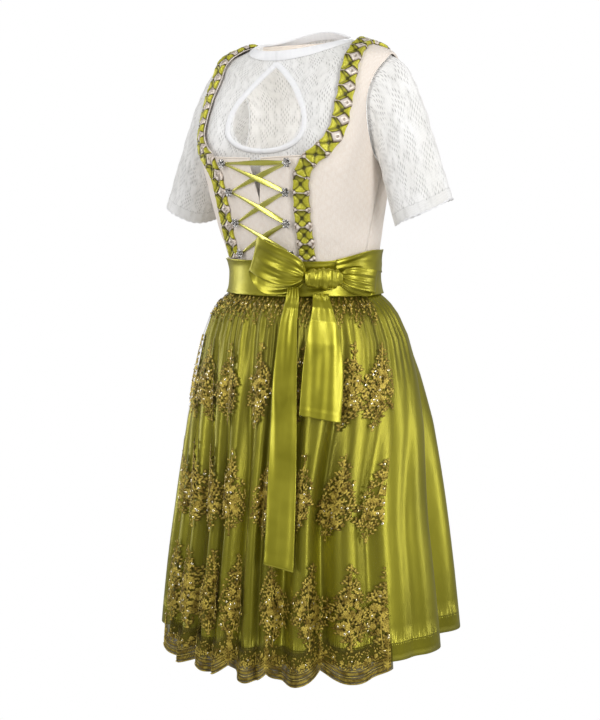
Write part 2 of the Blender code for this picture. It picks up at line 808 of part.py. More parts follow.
def lacing(finish):
    left = [(math.radians(a), z) for a, z in zip(HOOK_ANGLES, HOOK_HEIGHTS)]
    right = [(-a, z) for a, z in left]
    runs = {"lace_top": lace_run(right[0], left[0], LACE_LOW, LACE_HIGH)}
    for k in range(3):
        runs[f"lace_over_{k + 1}"] = lace_run(right[k], left[k + 1], LACE_HIGH, LACE_HIGH)
        runs[f"lace_under_{k + 1}"] = lace_run(left[k], right[k + 1], LACE_LOW, LACE_LOW)
    for name, rings in runs.items():
        tube(name, rings, finish)


# =====================================================================
# Skirt and apron
# =====================================================================


def hoop_at(height):
    """The skirt's outline at a height: half width, front and back depth, and shift."""
    k = next((k for k in range(len(SKIRT) - 1) if height >= SKIRT[k + 1].height), len(SKIRT) - 2)
    span = SKIRT[k].height - SKIRT[k + 1].height
    return spline(SKIRT, k + (SKIRT[k].height - height) / span)[1:]


def outline_at(angle, height, out=0.0):
    """A point of the skirt's outline, moved out, before it is folded."""
    wide, front, back, shift = hoop_at(height)
    s, c = math.sin(angle), math.cos(angle)
    reach = ((s / wide) ** 2 + (c / (front if c > 0 else back)) ** 2) ** -0.5 + out
    return Vector((reach * s + shift, -reach * c, height))


def fold_wave(turn):
    """Where a column lies in its fold, 0 at a ridge and 1 at the next, and the fold's depth."""
    degrees = math.degrees(turn)
    if degrees < FOLDS[0].angle:
        degrees += 360
    k = max(k for k in range(len(FOLDS)) if degrees >= FOLDS[k].angle)
    after = FOLDS[k + 1].angle if k + 1 < len(FOLDS) else FOLDS[0].angle + 360
    return (degrees - FOLDS[k].angle) / (after - FOLDS[k].angle), FOLDS[k].depth


def skirt_at(turn, height, out=0.0):
    """A point of the skirt. turn is the column's angle at the waist, in radians."""
    drop = smooth(0.418, 0.80, -height)
    angle = turn - math.radians(SKIRT_SQUEEZE) * math.sin(turn) * smooth(0.43, 0.80, -height)
    share, depth = fold_wave(turn)
    wave = (math.cos(2 * math.pi * share) - 1 + 0.2 * (1 - math.cos(4 * math.pi * share))) / 2
    gather = GATHER_DEPTH * (math.cos(6 * math.pi * share) - 1) * (1 - smooth(0.44, 0.60, -height))
    return outline_at(angle, height, depth * wave * drop + gather + out)


def turns(count, first=-math.pi, last=math.pi):
    return [first + (last - first) * k / count for k in range(count)]


def skirt_hem(turn):
    share = (1 + math.cos(turn)) / 2
    return SKIRT_HEM_BACK + (SKIRT_HEM_FRONT - SKIRT_HEM_BACK) * share


SKIRT_ROWS = (0.0, 0.020, 0.0436, 0.075, 0.125, 0.22, 0.40, 0.70, 1.0)


def skirt_height(turn, share, hem=None):
    """The height at a share of the way down the skirt."""
    hem = skirt_hem(turn) if hem is None else hem
    return SKIRT[0].height + (hem - SKIRT[0].height) * share


def skirt(finish):
    columns = turns(SKIRT_COLUMNS)
    grid = [[skirt_at(turn, skirt_height(turn, share)) for turn in columns] for share in SKIRT_ROWS]
    cloth("skirt", [grid], SKIRT_WALL, finish, closed=True, turned=True)


def apron_hem(share):
    """Height of the scalloped edge, at a share of the way from the wearer's right edge."""
    wave = abs(math.sin(math.pi * SCALLOPS * share)) ** 0.8
    return APRON_HEM + 0.012 * smooth(0.55, 1.0, share) - SCALLOP_DEPTH * wave


def apron(finish):
    """The apron lies on the skirt, column on column, and its hem goes on below the skirt's."""
    first, last = APRON_EDGES
    grid = []
    for share in SKIRT_ROWS[1:]:
        row = []
        for k in range(first, last + 1):
            turn = 2 * math.pi * k / SKIRT_COLUMNS
            across = (k - first) / (last - first)
            height = skirt_height(turn, share)
            height += (apron_hem(across) - skirt_hem(turn)) * smooth(0.65, 1.0, share)
            out = APRON_CLEAR + APRON_LIFT * smooth(0.425, 0.70, -height)
            row.append(skirt_at(turn, height, out))
        grid.append(row)
    cloth("apron", [grid], APRON_WALL, finish, turned=True)


# =====================================================================
# Sash and bow
# =====================================================================


def sash_at(angle, height, out=0.0):
    """A point of the sash's outer face, which stands out a little more at its lower edge."""
    share = (SASH_TOP - height) / (SASH_TOP - SASH_BOTTOM)
    ease = SASH_EASE + SASH_FLARE * max(share, 0.0) ** 1.5
    point = figure_at(angle, level_of(angle, height))
    return point + Vector((point.x, point.y, 0)).normalized() * (ease + out)


def sash_edge(angle):
    """The sash's upper edge, where its outer layer rises over the wearer's left hip."""
    degrees = math.degrees(angle)
    return SASH_TOP + SASH_RISE * smooth(48, 88, degrees) * (1 - smooth(100, 165, degrees))


def sash(finish):
    count = 44
    columns = turns(count, 0.0, 2 * math.pi)
    grid = [
        [sash_at(angle, sash_edge(angle) + (SASH_BOTTOM - sash_edge(angle)) * k / 3) for angle in columns]
        for k in range(4)
    ]
    cloth("waist_sash", [grid], SASH_WALL, finish, closed=True, turned=True)


def bow_at(x, y, z):
    """A point of the bow, which is bent round the waist with the sash."""
    angle = BOW_ANGLE + x / BOW_ROUND
    point = sash_at(angle, BOW_HEIGHT + z)
    return point + Vector((math.sin(angle), -math.cos(angle), 0)) * y


def knot(finish):
    """The knot: a short roll of gathered cloth, ridged along its length."""
    rings, count, stations = [], 14, 9
    for i in range(stations):
        along = -1 + 2 * i / (stations - 1)
        swell = math.sqrt(1 - 0.60 * along**2) * (1 + 0.04 * math.cos(9 * along))
        ring = []
        for k in range(count):
            turn = 2 * math.pi * k / count
            ridge = swell * (1 + 0.05 * math.cos(7 * turn + 2 * along))
            y = 0.8 * MM + KNOT_DEEP / 2 * (1.05 + ridge * math.cos(turn))
            ring.append(bow_at(along * KNOT_LENGTH / 2, y, KNOT_TALL / 2 * ridge * math.sin(turn)))
        rings.append(ring)
    tube("bow_knot", rings, finish, turned=True)


def bow_loop(name, size, finish):
    """A loop of the bow: the ribbon goes out from the knot, turns and comes back."""
    columns = 6
    start = KNOT_LENGTH / 2 + 0.8 * MM + LOOP[0].width * size.width / 2 * abs(math.sin(size.rise))
    grid = []
    for row in LOOP:
        line = []
        for k in range(columns):
            v = -1 + 2 * k / (columns - 1)
            along, across = row.share * size.length, v * row.width * size.width / 2
            x = start + along * math.cos(size.rise) - across * math.sin(size.rise)
            z = size.start + along * math.sin(size.rise) + across * math.cos(size.rise)
            crease = 0.0014 * math.cos(3 * math.pi * v) * (1 - row.share)
            line.append(bow_at(size.side * x, row.out + crease, z))
        grid.append(line)
    cloth(name, [grid], SASH_WALL, finish, turned=size.side > 0)


# The tails, a row for each section down them: height, angle on the skirt, width, standing out
TailRow = namedtuple("TailRow", "height angle width out")
LONG_TAIL = (
    TailRow(-0.4020, 27.0, 0.014, 0.0170),
    TailRow(-0.4200, 26.6, 0.018, 0.0150),
    TailRow(-0.4360, 26.2, 0.021, 0.0095),
    TailRow(-0.4700, 25.2, 0.026, 0.0078),
    TailRow(-0.5400, 24.2, 0.034, 0.0076),
    TailRow(-0.6200, 23.8, 0.038, 0.0080),
    TailRow(-0.7200, 23.8, 0.041, 0.0100),
    TailRow(-0.8320, 23.4, 0.043, 0.0100),
)
SHORT_TAIL = (
    TailRow(-0.4120, 45.6, 0.020, 0.0160),
    TailRow(-0.4240, 45.6, 0.024, 0.0140),
    TailRow(-0.4400, 45.4, 0.030, 0.0095),
    TailRow(-0.4700, 44.8, 0.042, 0.0076),
    TailRow(-0.5150, 43.8, 0.053, 0.0073),
    TailRow(-0.5600, 42.4, 0.056, 0.0073),
    TailRow(-0.6040, 40.8, 0.056, 0.0076),
)


def tail_grid(rows, slant, columns=7):
    grid = []
    for k, row in enumerate(rows):
        share = k / (len(rows) - 1)
        _, front, _, _ = hoop_at(row.height)
        line = []
        for j in range(columns):
            v = -1 + 2 * j / (columns - 1)
            angle = math.radians(row.angle) + v * row.width / 2 / front
            roll = 0.0018 * math.cos(2 * math.pi * v + 3 * share)
            point = outline_at(angle, row.height, row.out + roll)
            point.z -= slant * v * share
            line.append(point)
        grid.append(line)
    return grid


def tails(finish):
    cloth("bow_tail_long", [tail_grid(LONG_TAIL, 0.005)], SASH_WALL, finish, turned=True)
    cloth("bow_tail_short", [tail_grid(SHORT_TAIL, 0.006)], SASH_WALL, finish, turned=True)


# =====================================================================
# The whole dress
# =====================================================================


def clear_scene():
    for old in list(bpy.data.objects):
        bpy.data.objects.remove(old)


def main():
    clear_scene()
    lace = material("white_lace", (0.86, 0.84, 0.79), 0.85)
    white_satin = material("white_satin", (0.90, 0.90, 0.90), 0.45)
    beige = material("beige_jacquard", (0.86, 0.78, 0.68), 0.80)
    green = material("green_satin", (0.42, 0.40, 0.05), 0.32)
    taffeta = material("green_taffeta", (0.40, 0.40, 0.06), 0.40)
    tulle = material("bronze_tulle", (0.30, 0.25, 0.05), 0.70)
    silver = material("silver", (0.62, 0.60, 0.57), 0.30, 1.0)
    blouse_front(lace)
    blouse_back(lace)
    keyhole_binding(white_satin)
    neck_band(white_satin)
    sleeves(lace)
    bodice_centre(beige)
    bodice_side(beige)
    bodice_back(beige)
    trims(taffeta)
    hooks(silver)
    lacing(green)
    skirt(green)
    apron(tulle)
    sash(green)
    knot(green)
    bow_loop("bow_loop_right", LOOP_RIGHT, green)
    bow_loop("bow_loop_left", LOOP_LEFT, green)
    tails(green)


main()
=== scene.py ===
# %% [markdown]
# # A dirndl in cloth
#
# The frame holds the dress as plain solids. This notebook dresses them: lace, jacquard, satin,
# ruched trim, silver hooks and an embroidered tulle apron, each piece on the solid it stands for.
# Lengths are metres. The front faces -Y, the wearer's left is +X, and angles start at the front.

# %% Load the frame
import json
import math

import bpy
import numpy as np
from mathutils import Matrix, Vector, noise


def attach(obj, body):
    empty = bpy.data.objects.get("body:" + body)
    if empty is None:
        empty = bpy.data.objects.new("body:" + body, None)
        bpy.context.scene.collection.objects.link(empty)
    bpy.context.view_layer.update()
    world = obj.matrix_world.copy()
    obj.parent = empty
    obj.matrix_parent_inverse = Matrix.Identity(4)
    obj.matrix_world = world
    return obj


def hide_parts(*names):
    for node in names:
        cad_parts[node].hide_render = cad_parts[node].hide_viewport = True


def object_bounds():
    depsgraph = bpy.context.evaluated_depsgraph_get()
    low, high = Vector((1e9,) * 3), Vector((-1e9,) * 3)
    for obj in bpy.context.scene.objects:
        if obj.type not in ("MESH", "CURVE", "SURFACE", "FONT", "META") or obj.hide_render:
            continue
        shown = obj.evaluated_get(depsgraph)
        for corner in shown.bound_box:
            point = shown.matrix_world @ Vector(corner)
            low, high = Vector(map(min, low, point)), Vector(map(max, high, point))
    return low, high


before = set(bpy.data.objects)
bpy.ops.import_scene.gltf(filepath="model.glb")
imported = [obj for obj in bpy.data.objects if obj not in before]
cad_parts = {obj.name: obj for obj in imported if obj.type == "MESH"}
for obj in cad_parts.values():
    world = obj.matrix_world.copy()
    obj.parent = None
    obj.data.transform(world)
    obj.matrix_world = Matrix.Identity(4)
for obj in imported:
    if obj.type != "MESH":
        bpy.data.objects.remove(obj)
cad_low, cad_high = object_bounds()
MM = 0.001
print("solids:", len(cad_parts), "box:", [round(v, 3) for v in (*cad_low, *cad_high)])

# %% [markdown]
# ## Camera and light
#
# A dress is shown on plain white, with light from large soft boxes. A sun or a few bulbs would do
# for wool, but satin needs boxes: its shine is the picture of a bright box in the cloth, and its
# dark folds are the gaps between the boxes. So the room gives little light of its own, and five
# boxes stand round the dress. Most are narrow and as tall as a door, because a long strip of light
# draws a long highlight down a fold. Small lamps inside stand for what white lace lets through.

# %% Camera
CAMERA_TURN = math.radians(35)
CAMERA_AWAY, CAMERA_HEIGHT = 2.5, -0.254
LENS, FILM_WIDTH = 73.75, 36
VIEW_TALL, VIEW_MOVED = 720, (-5, -165)

camera = bpy.data.objects.new("camera", bpy.data.cameras.new("camera"))
bpy.context.scene.collection.objects.link(camera)
camera.location = (
    CAMERA_AWAY * math.sin(CAMERA_TURN),
    -CAMERA_AWAY * math.cos(CAMERA_TURN),
    CAMERA_HEIGHT,
)
camera.rotation_euler = (math.radians(90), 0, CAMERA_TURN)
camera.data.lens, camera.data.sensor_width = LENS, FILM_WIDTH
camera.data.shift_x, camera.data.shift_y = (moved / VIEW_TALL for moved in VIEW_MOVED)
bpy.context.scene.camera = camera
print("camera at", [round(v, 3) for v in camera.location])


# %% Soft boxes, and lamps inside the blouse
def hang(name, kind, place, power):
    """A light of a kind, as an object in the scene."""
    lamp = bpy.data.objects.new(name, bpy.data.lights.new(name, kind))
    bpy.context.scene.collection.objects.link(lamp)
    lamp.location, lamp.data.energy = place, power
    return lamp


BOXES_AIM_AT = Vector((0, 0, -0.5))
SOFT_BOXES = [  # name, degrees round from the front, height, distance, width, length, watts
    ("key_box", 60, 0.45, 2.6, 0.5, 3.0, 46),
    ("fill_box", -14, 0.6, 2.6, 0.4, 3.0, 31),
    ("side_box", 118, 0.2, 2.6, 0.5, 2.8, 24),
    ("back_box", 215, 0.8, 2.8, 1.2, 1.8, 22),
    ("edge_box", -80, 0.2, 2.6, 0.7, 2.8, 26),
]
for name, degrees, height, away, wide, tall, power in SOFT_BOXES:
    angle = math.radians(degrees)
    lamp = hang(name, "AREA", (away * math.sin(angle), -away * math.cos(angle), height), power)
    lamp.data.shape = "RECTANGLE"
    lamp.data.size, lamp.data.size_y = wide, tall
    lamp.rotation_euler = (lamp.location - BOXES_AIM_AT).to_track_quat("Z", "Y").to_euler()

INNER_LAMPS = [((0, 0, -0.13), 0.34), ((-0.215, -0.01, -0.19), 0.05), ((0.215, -0.01, -0.19), 0.05)]
for place, power in INNER_LAMPS:
    hang("light_through_lace", "POINT", place, power).data.shadow_soft_size = 0.05

# %% Room: white where it is seen, and dim as a light
ROOM_SEEN, ROOM_LIGHT = 1.0, 0.29
world = bpy.data.worlds.new("room")
bpy.context.scene.world = world
world.use_nodes = True
room = world.node_tree.nodes["Background"]
seen = world.node_tree.nodes.new("ShaderNodeLightPath")
level = world.node_tree.nodes.new("ShaderNodeMapRange")
level.inputs["To Min"].default_value = ROOM_LIGHT
level.inputs["To Max"].default_value = ROOM_SEEN
world.node_tree.links.new(seen.outputs["Is Camera Ray"], level.inputs["Value"])
world.node_tree.links.new(level.outputs["Result"], room.inputs["Strength"])
room.inputs["Color"].default_value = (1, 1, 1, 1)
bpy.context.scene.view_settings.view_transform = "Standard"
print("lights:", len(bpy.data.lights), "room:", ROOM_LIGHT)

# %% [markdown]
# ## Materials as sums
#
# A cloth's pattern could be a picture wrapped round it, but a picture blurs close by. A sum over
# the surface stays sharp, and on the cloth's own map, in metres, it bends and gathers with the
# cloth. Nodes are slow to read, so two classes let a material be written as the sum it is: a
# `Value` is a socket that Python's own signs work on, and a `Look` is the material that holds it.


# %% The two classes
class Value:
    """A number on its way through a material."""

    def __init__(self, look, socket):
        self.look, self.socket = look, socket

    def _do(self, operation, *others):
        return self.look.node("ShaderNodeMath", [self, *others], operation=operation)

    def __add__(self, other):
        return self._do("ADD", other)

    def __sub__(self, other):
        return self._do("SUBTRACT", other)

    def __mul__(self, other):
        return self._do("MULTIPLY", other)

    def __truediv__(self, other):
        return self._do("DIVIDE", other)

    def __pow__(self, other):
        return self._do("POWER", other)

    def __rsub__(self, other):
        return self.look.node("ShaderNodeMath", [other, self], operation="SUBTRACT")

    __radd__ = __add__
    __rmul__ = __mul__

    def sin(self):
        return self._do("SINE")

    def abs(self):
        return self._do("ABSOLUTE")

    def floor(self):
        return self._do("FLOOR")

    def fract(self):
        return self._do("FRACT")

    def max(self, other):
        return self._do("MAXIMUM", other)

    def min(self, other):
        return self._do("MINIMUM", other)

    def rise(self, low, high):
        """0 up to low, 1 from high on, and a straight ramp between."""
        return self.look.node("ShaderNodeMapRange", {"Value": self, "From Min": low, "From Max": high})


class Look:
    """A material in the making, around one Principled shader."""

    def __init__(self, name, **fixed):
        self.material = bpy.data.materials.new(name)
        self.material.use_nodes = True
        self.tree = self.material.node_tree
        self.shader = self.tree.nodes["Principled BSDF"]
        for socket, value in fixed.items():
            self.shader.inputs[socket.replace("_", " ")].default_value = value

    def node(self, kind, sockets=(), out=0, **settings):
        """Adds a node, sets it up, fills its sockets with values or links, and returns one output."""
        node = self.tree.nodes.new(kind)
        for setting, value in settings.items():
            setattr(node, setting, value)
        pairs = sockets.items() if isinstance(sockets, dict) else enumerate(sockets)
        for key, value in pairs:
            if isinstance(value, Value):
                self.tree.links.new(value.socket, node.inputs[key])
            else:
                node.inputs[key].default_value = value
        return Value(self, node.outputs[out])

    def cloth_map(self):
        """The place on the cloth: across and along, in metres."""
        uv = self.node("ShaderNodeUVMap", uv_map="cloth")
        return [self.node("ShaderNodeSeparateXYZ", [uv], out=k) for k in (0, 1)]

    def place(self, x, y):
        return self.node("ShaderNodeCombineXYZ", [x, y, 0.0])

    def noise(self, x, y, detail=2.0):
        where = self.place(x, y)
        settings = {"Vector": where, "Scale": 1.0, "Detail": detail}
        return self.node("ShaderNodeTexNoise", settings, noise_dimensions="2D")

    def mark(self, name):
        """A number that the mesh carries at every point."""
        return self.node("ShaderNodeAttribute", out="Fac", attribute_name=name)

    def mix(self, share, first, second):
        colours = {6: first, 7: second}
        for key, colour in colours.items():
            if not isinstance(colour, Value):
                colours[key] = (*colour, 1.0)
        return self.node("ShaderNodeMix", {0: share, **colours}, out=2, data_type="RGBA")

    def bump(self, height, distance):
        return self.node("ShaderNodeBump", {"Height": height, "Distance": distance, "Strength": 1.0})

    def set(self, **links):
        """Feeds sockets of the shader."""
        for socket, value in links.items():
            self.tree.links.new(value.socket, self.shader.inputs[socket.replace("_", " ")])
        return self.material


def leaves(x, y, wide, tall, fill_x, fill_y):
    """A half-drop repeat of slim pointed ovals: 1 in a leaf's middle, 0 at its edge and beyond."""
    column = (x / wide).floor()
    drop = (column * 0.5).fract() * tall
    across = ((x / wide).fract() - 0.5) / fill_x
    along = (((y + drop) / tall).fract() - 0.5) / fill_y
    return (1.0 - across.abs() - along * along).max(0.0)


print("a material is written with", Value.__name__, "and", Look.__name__)

# %% [markdown]
# ## Fabrics
#
# Each fabric gets what the eye reads first. Lace is white with slim slits in wavy rows: cut as real
# holes they would need millions of faces, so they are shade and bump. Jacquard is a close weave
# with a faint figure. Satin is smooth, with long floats that stretch the shine, so it is a little
# metallic and anisotropic. Tulle lets the satin through, and more of it lies in a fold.


# %% Lace and white tape
SLIT_WIDE, SLIT_LONG = 3.9 * MM, 9.5 * MM
FIGURE_WIDE, FIGURE_LONG = 34 * MM, 52 * MM


def make_lace():
    """Slits stand in figures and thrown here and there, between ribs and raised buds."""
    look = Look("white_lace", Roughness=0.8, Sheen_Weight=0.25, Specular_IOR_Level=0.25)
    x, y = look.cloth_map()
    sway = (y * 130.0).sin() * (1.6 * MM) + look.noise(x * 26.0, y * 17.0) * (8 * MM)
    across = x + sway
    slits = leaves(across, y, SLIT_WIDE, SLIT_LONG, 0.26, 0.44)
    groups = leaves(across, y, FIGURE_WIDE, FIGURE_LONG, 0.46, 0.52)
    thrown = look.noise(x * 110.0, y * 60.0, 1.0)
    slit = slits.rise(0.0, 0.7) * (groups * 0.60 + thrown).rise(0.48, 0.76)
    ribs = (across * 2900.0).sin().rise(-1.0, 1.0)
    net = (y * 2100.0).sin().rise(-1.0, 1.0)
    bud_place = across + FIGURE_WIDE / 2
    buds = leaves(bud_place, y, FIGURE_WIDE, FIGURE_LONG / 2, 0.20, 0.34).rise(0.0, 0.4)
    threads = look.noise(x * 2600.0, y * 900.0, 1.0)
    cloudy = look.noise(x * 22.0, y * 9.0, 3.0)
    white = look.mix(cloudy.rise(0.3, 0.7), (0.86, 0.848, 0.82), (0.96, 0.953, 0.94))
    hem = look.mark("hem")
    hem_line, hem_band = ((hem - 0.10) / 0.07).abs().rise(1.0, 0.0), hem.rise(0.12, 0.2)
    slit = slit * (1.0 - hem_band)
    ground = (1.0 - groups.rise(0.0, 0.5)) * thrown.rise(0.35, 0.65)
    shade = slit * 0.70 + ground * 0.16 + ribs * net * 0.12 + hem_line * 0.30 + hem_band * ribs * 0.22
    colour = look.mix(shade, white, (0.42, 0.415, 0.395))
    height = buds * 0.8 + ribs * 0.35 + threads * 0.25 - slit
    return look.set(Base_Color=colour, Normal=look.bump(height, 0.6 * MM))


def make_tape():
    look = Look("white_satin", Roughness=0.42, Sheen_Weight=0.15, Specular_IOR_Level=0.4)
    x, y = look.cloth_map()
    soft = look.noise(x * 60.0, y * 200.0, 2.0)
    weave = look.noise(x * 3000.0, y * 3000.0, 0.0)
    colour = look.mix(soft, (0.84, 0.84, 0.855), (0.92, 0.92, 0.93))
    return look.set(Base_Color=colour, Normal=look.bump(soft * 0.8 + weave * 0.1, 0.6 * MM))


LACE, WHITE_TAPE = make_lace(), make_tape()
print("white:", LACE.name, WHITE_TAPE.name)


# %% Jacquard of the bodice
def make_jacquard():
    """Small pointed figures on a close weave with thick and thin threads."""
    look = Look("beige_jacquard", Roughness=0.72, Sheen_Weight=0.2, Specular_IOR_Level=0.3)
    x, y = look.cloth_map()
    figure_band = leaves(x, y, 7 * MM, 15 * MM, 0.42, 0.40).rise(0.1, 0.3)
    small = leaves(x + 3.5 * MM, y + 3 * MM, 7 * MM, 7.5 * MM, 0.20, 0.22).rise(0.1, 0.3)
    motif = figure_band.max(small)
    warp = (x * 7800.0).sin() * (y * 7800.0).sin()
    slub = look.noise(x * 420.0, y * 90.0, 2.0)
    ground = look.mix(slub, (0.815, 0.715, 0.62), (0.895, 0.815, 0.735))
    colour = look.mix(motif * 0.20, ground, (0.93, 0.88, 0.82))
    height = motif * 0.5 + warp * 0.15 + slub * 0.4
    return look.set(Base_Color=colour, Normal=look.bump(height, 0.25 * MM))


JACQUARD = make_jacquard()
print("bodice:", JACQUARD.name)

# %% Satins
HEM_STITCHES, HEM_PUCKER = 26 * MM, 28 * MM  # up from the edge of the hem


def make_satin(name, deep, bright, rough):
    """Satin for the skirt, puckered along the row of stitches that holds its hem."""
    look = Look(name, Metallic=0.68, Anisotropic=0.50, Specular_IOR_Level=0.8)
    x, y = look.cloth_map()
    cloudy = look.noise(x * 9.0, y * 5.0, 2.0)
    floats = look.noise(x * 2400.0, y * 260.0, 1.0)
    crumple = look.noise(x * 55.0, y * 26.0, 3.0)
    colour = look.mix(cloudy.rise(0.25, 0.65), deep, bright)
    hem_line = ((y - HEM_STITCHES) / (1.2 * MM)).abs().rise(1.0, 0.0)
    stitches = hem_line * ((x * 1400.0).sin()).rise(-0.2, 0.3)
    near_hem = ((y - HEM_PUCKER) / (24 * MM)).abs().rise(1.0, 0.0) ** 2
    pucker = near_hem * look.noise(x * 105.0, y * 16.0, 1.0)
    height = crumple * 0.5 + pucker * 5.0 - stitches * 0.8
    roughness = floats * 0.10 + (rough - 0.05)
    return look.set(Base_Color=colour, Roughness=roughness, Normal=look.bump(height, 0.9 * MM))


SKIRT_SATIN = make_satin("green_satin", (0.215, 0.197, 0.007), (0.345, 0.315, 0.016), 0.33)


def make_ribbon(name, deep, bright, rough, gloss):
    """Satin for the sash, bow and lacing: no hem, and small soft dents."""
    look = Look(name, Metallic=0.70, Anisotropic=0.40, Specular_IOR_Level=0.5,
                Coat_Weight=gloss, Coat_Roughness=0.20)
    x, y = look.cloth_map()
    cloudy = look.noise(x * 18.0, y * 18.0, 2.0)
    crumple = look.noise(x * 70.0, y * 45.0, 3.0)
    floats = look.noise(x * 300.0, y * 2400.0, 1.0)
    colour = look.mix(cloudy.rise(0.3, 0.7), deep, bright)
    return look.set(
        Base_Color=colour,
        Roughness=floats * 0.10 + (rough - 0.05),
        Normal=look.bump(crumple, 0.2 * MM),
    )


SASH_SATIN = make_ribbon("sash_satin", (0.300, 0.274, 0.012), (0.430, 0.394, 0.028), 0.32, 0.15)
LACE_SATIN = make_ribbon("lace_satin", (0.52, 0.49, 0.045), (0.74, 0.71, 0.19), 0.22, 1.0)
print("satins:", SKIRT_SATIN.name, SASH_SATIN.name, LACE_SATIN.name)


# %% Tulle, gold thread and sequins
def make_tulle():
    """Bronze net, denser where it turns away in a fold, and closed under the border."""
    look = Look("bronze_tulle", Roughness=0.55, Specular_IOR_Level=0.1)
    x, y = look.cloth_map()
    mesh_a = ((x * 0.5 + y * 0.866) * 4200.0).sin().abs()
    mesh_b = ((x * 0.5 - y * 0.866) * 4200.0).sin().abs()
    net = (1.0 - mesh_a.min(mesh_b)).rise(0.25, 0.95)
    cloudy = look.noise(x * 14.0, y * 6.0, 2.0)
    folded = look.mark("folded")
    open_net = look.mix(cloudy, (0.075, 0.055, 0.010), (0.140, 0.110, 0.028))
    border = look.mix(net, (0.075, 0.064, 0.004), (0.150, 0.126, 0.012))
    colour = look.mix(folded.rise(0.9, 1.5), open_net, border)
    cover = folded * 0.46 + cloudy * 0.10 + net * 0.06
    return look.set(Base_Color=colour, Alpha=cover.min(1.0), Normal=look.bump(net, 0.2 * MM))


def make_thread():
    """Gold thread, with painted shade that darkens each stitch from its ridge to its edge where it goes into
    the net.
    """
    look = Look("gold_thread", Roughness=0.45, Metallic=0.50, Specular_IOR_Level=0.3)
    spot = look.node("ShaderNodeTexCoord", out="Object")
    patchy = look.node("ShaderNodeTexNoise", {"Vector": spot, "Scale": 95.0, "Detail": 2.0})
    twist = look.node("ShaderNodeTexNoise", {"Vector": spot, "Scale": 1500.0, "Detail": 1.0})
    bright = look.mix(patchy.rise(0.35, 0.65), (0.21, 0.142, 0.014), (0.66, 0.505, 0.085))
    # Painted shade: each stitch goes from its gold on the ridge to near-black brown at its low edge.
    colour = look.mix(look.mark("ridge").rise(0.0, 0.55), (0.060, 0.036, 0.004), bright)
    return look.set(Base_Color=colour, Normal=look.bump(twist, 0.4 * MM))


def make_sequin():
    look = Look("sequin", Roughness=0.16, Metallic=0.9)
    spot = look.node("ShaderNodeTexCoord", out="Object")
    patchy = look.node("ShaderNodeTexNoise", {"Vector": spot, "Scale": 95.0})
    colour = look.mix(patchy.rise(0.35, 0.65), (0.62, 0.52, 0.26), (0.92, 0.86, 0.66))
    return look.set(Base_Color=colour)


TULLE, GOLD_THREAD, SEQUIN = make_tulle(), make_thread(), make_sequin()
print("apron:", TULLE.name, GOLD_THREAD.name, SEQUIN.name)


# %% Ruched taffeta and silver
def make_ruche():
    """Green outside and beige in the mouths, with painted shade where the mesh says that it is deep."""
    look = Look("green_taffeta", Roughness=0.38, Metallic=0.30, Specular_IOR_Level=0.5)
    x, y = look.cloth_map()
    mouth = look.mark("mouth").rise(0.46, 0.54)
    crumple = look.noise(x * 240.0, y * 240.0, 2.0)
    # Painted shade: the depth mark mixes the green and the beige towards near black in creases, pinches,
    # dimples and round the mouths.
    depth = (look.mark("depth") * 1.8).min(1.0)
    green = look.mix(crumple, (0.37, 0.350, 0.012), (0.66, 0.62, 0.055))
    green = look.mix(depth, green, (0.060, 0.052, 0.003))
    beige = look.mix(crumple, (0.74, 0.64, 0.55), (0.87, 0.80, 0.72))
    beige = look.mix(depth, beige, (0.20, 0.14, 0.09))
    return look.set(Base_Color=look.mix(mouth, green, beige), Normal=look.bump(crumple, 0.7 * MM))


def make_silver():
    look = Look("silver", Metallic=1.0, Roughness=0.28)
    spot = look.node("ShaderNodeTexCoord", out="Object")
    grime = look.node("ShaderNodeTexNoise", {"Vector": spot, "Scale": 420.0, "Detail": 3.0})
    chased = look.node("ShaderNodeTexNoise", {"Vector": spot, "Scale": 1300.0, "Detail": 1.0})
    colour = look.mix(grime.rise(0.40, 0.62), (0.16, 0.15, 0.14), (0.84, 0.82, 0.79))
    return look.set(
        Base_Color=colour,
        Roughness=grime.rise(0.3, 0.7) * -0.2 + 0.42,
        Normal=look.bump(chased, 0.5 * MM),
    )


RUCHE, SILVER = make_ruche(), make_silver()
print("materials:", len(bpy.data.materials))

# %% [markdown]
# ## The figure that the cloth is cut for
#
# A tailor works on a stand. Layers that are each modelled by eye cut through one another, so here
# too there is a stand: a table of rings from the waist to the neck. Every point of the blouse and
# bodice is an angle and a level on it, and a distance out from it, which keeps the layers apart.
# These are the numbers that the solids were built from, so the cloth lies where they are.

# %% The stand
FIGURE = np.array([  # height at side, front and back, half width, depth in front and behind, squareness
    (-0.430, -0.430, -0.430, 0.131, 0.1130, 0.110, 2.0, 2.0),
    (-0.390, -0.390, -0.390, 0.129, 0.1100, 0.107, 2.0, 2.0),
    (-0.352, -0.352, -0.352, 0.133, 0.1115, 0.104, 2.3, 2.0),
    (-0.314, -0.314, -0.314, 0.140, 0.1190, 0.101, 2.7, 2.0),
    (-0.268, -0.268, -0.268, 0.148, 0.1280, 0.098, 3.0, 2.1),
    (-0.232, -0.232, -0.232, 0.153, 0.1350, 0.097, 3.2, 2.2),
    (-0.200, -0.200, -0.200, 0.157, 0.1400, 0.099, 3.4, 2.4),
    (-0.155, -0.155, -0.155, 0.163, 0.1370, 0.104, 3.4, 2.7),
    (-0.108, -0.092, -0.096, 0.168, 0.1170, 0.106, 2.9, 2.7),
    (-0.078, -0.052, -0.056, 0.1735, 0.1000, 0.100, 2.3, 2.3),
    (-0.058, -0.021, -0.018, 0.171, 0.0910, 0.088, 1.9, 1.9),
    (-0.038, -0.001, 0.006, 0.118, 0.0860, 0.072, 1.9, 1.9),
    (-0.0165, 0.008, 0.028, 0.086, 0.0830, 0.060, 2.0, 2.0),
])
NECK_LEVEL = len(FIGURE) - 1.0
SIDE = math.pi / 2


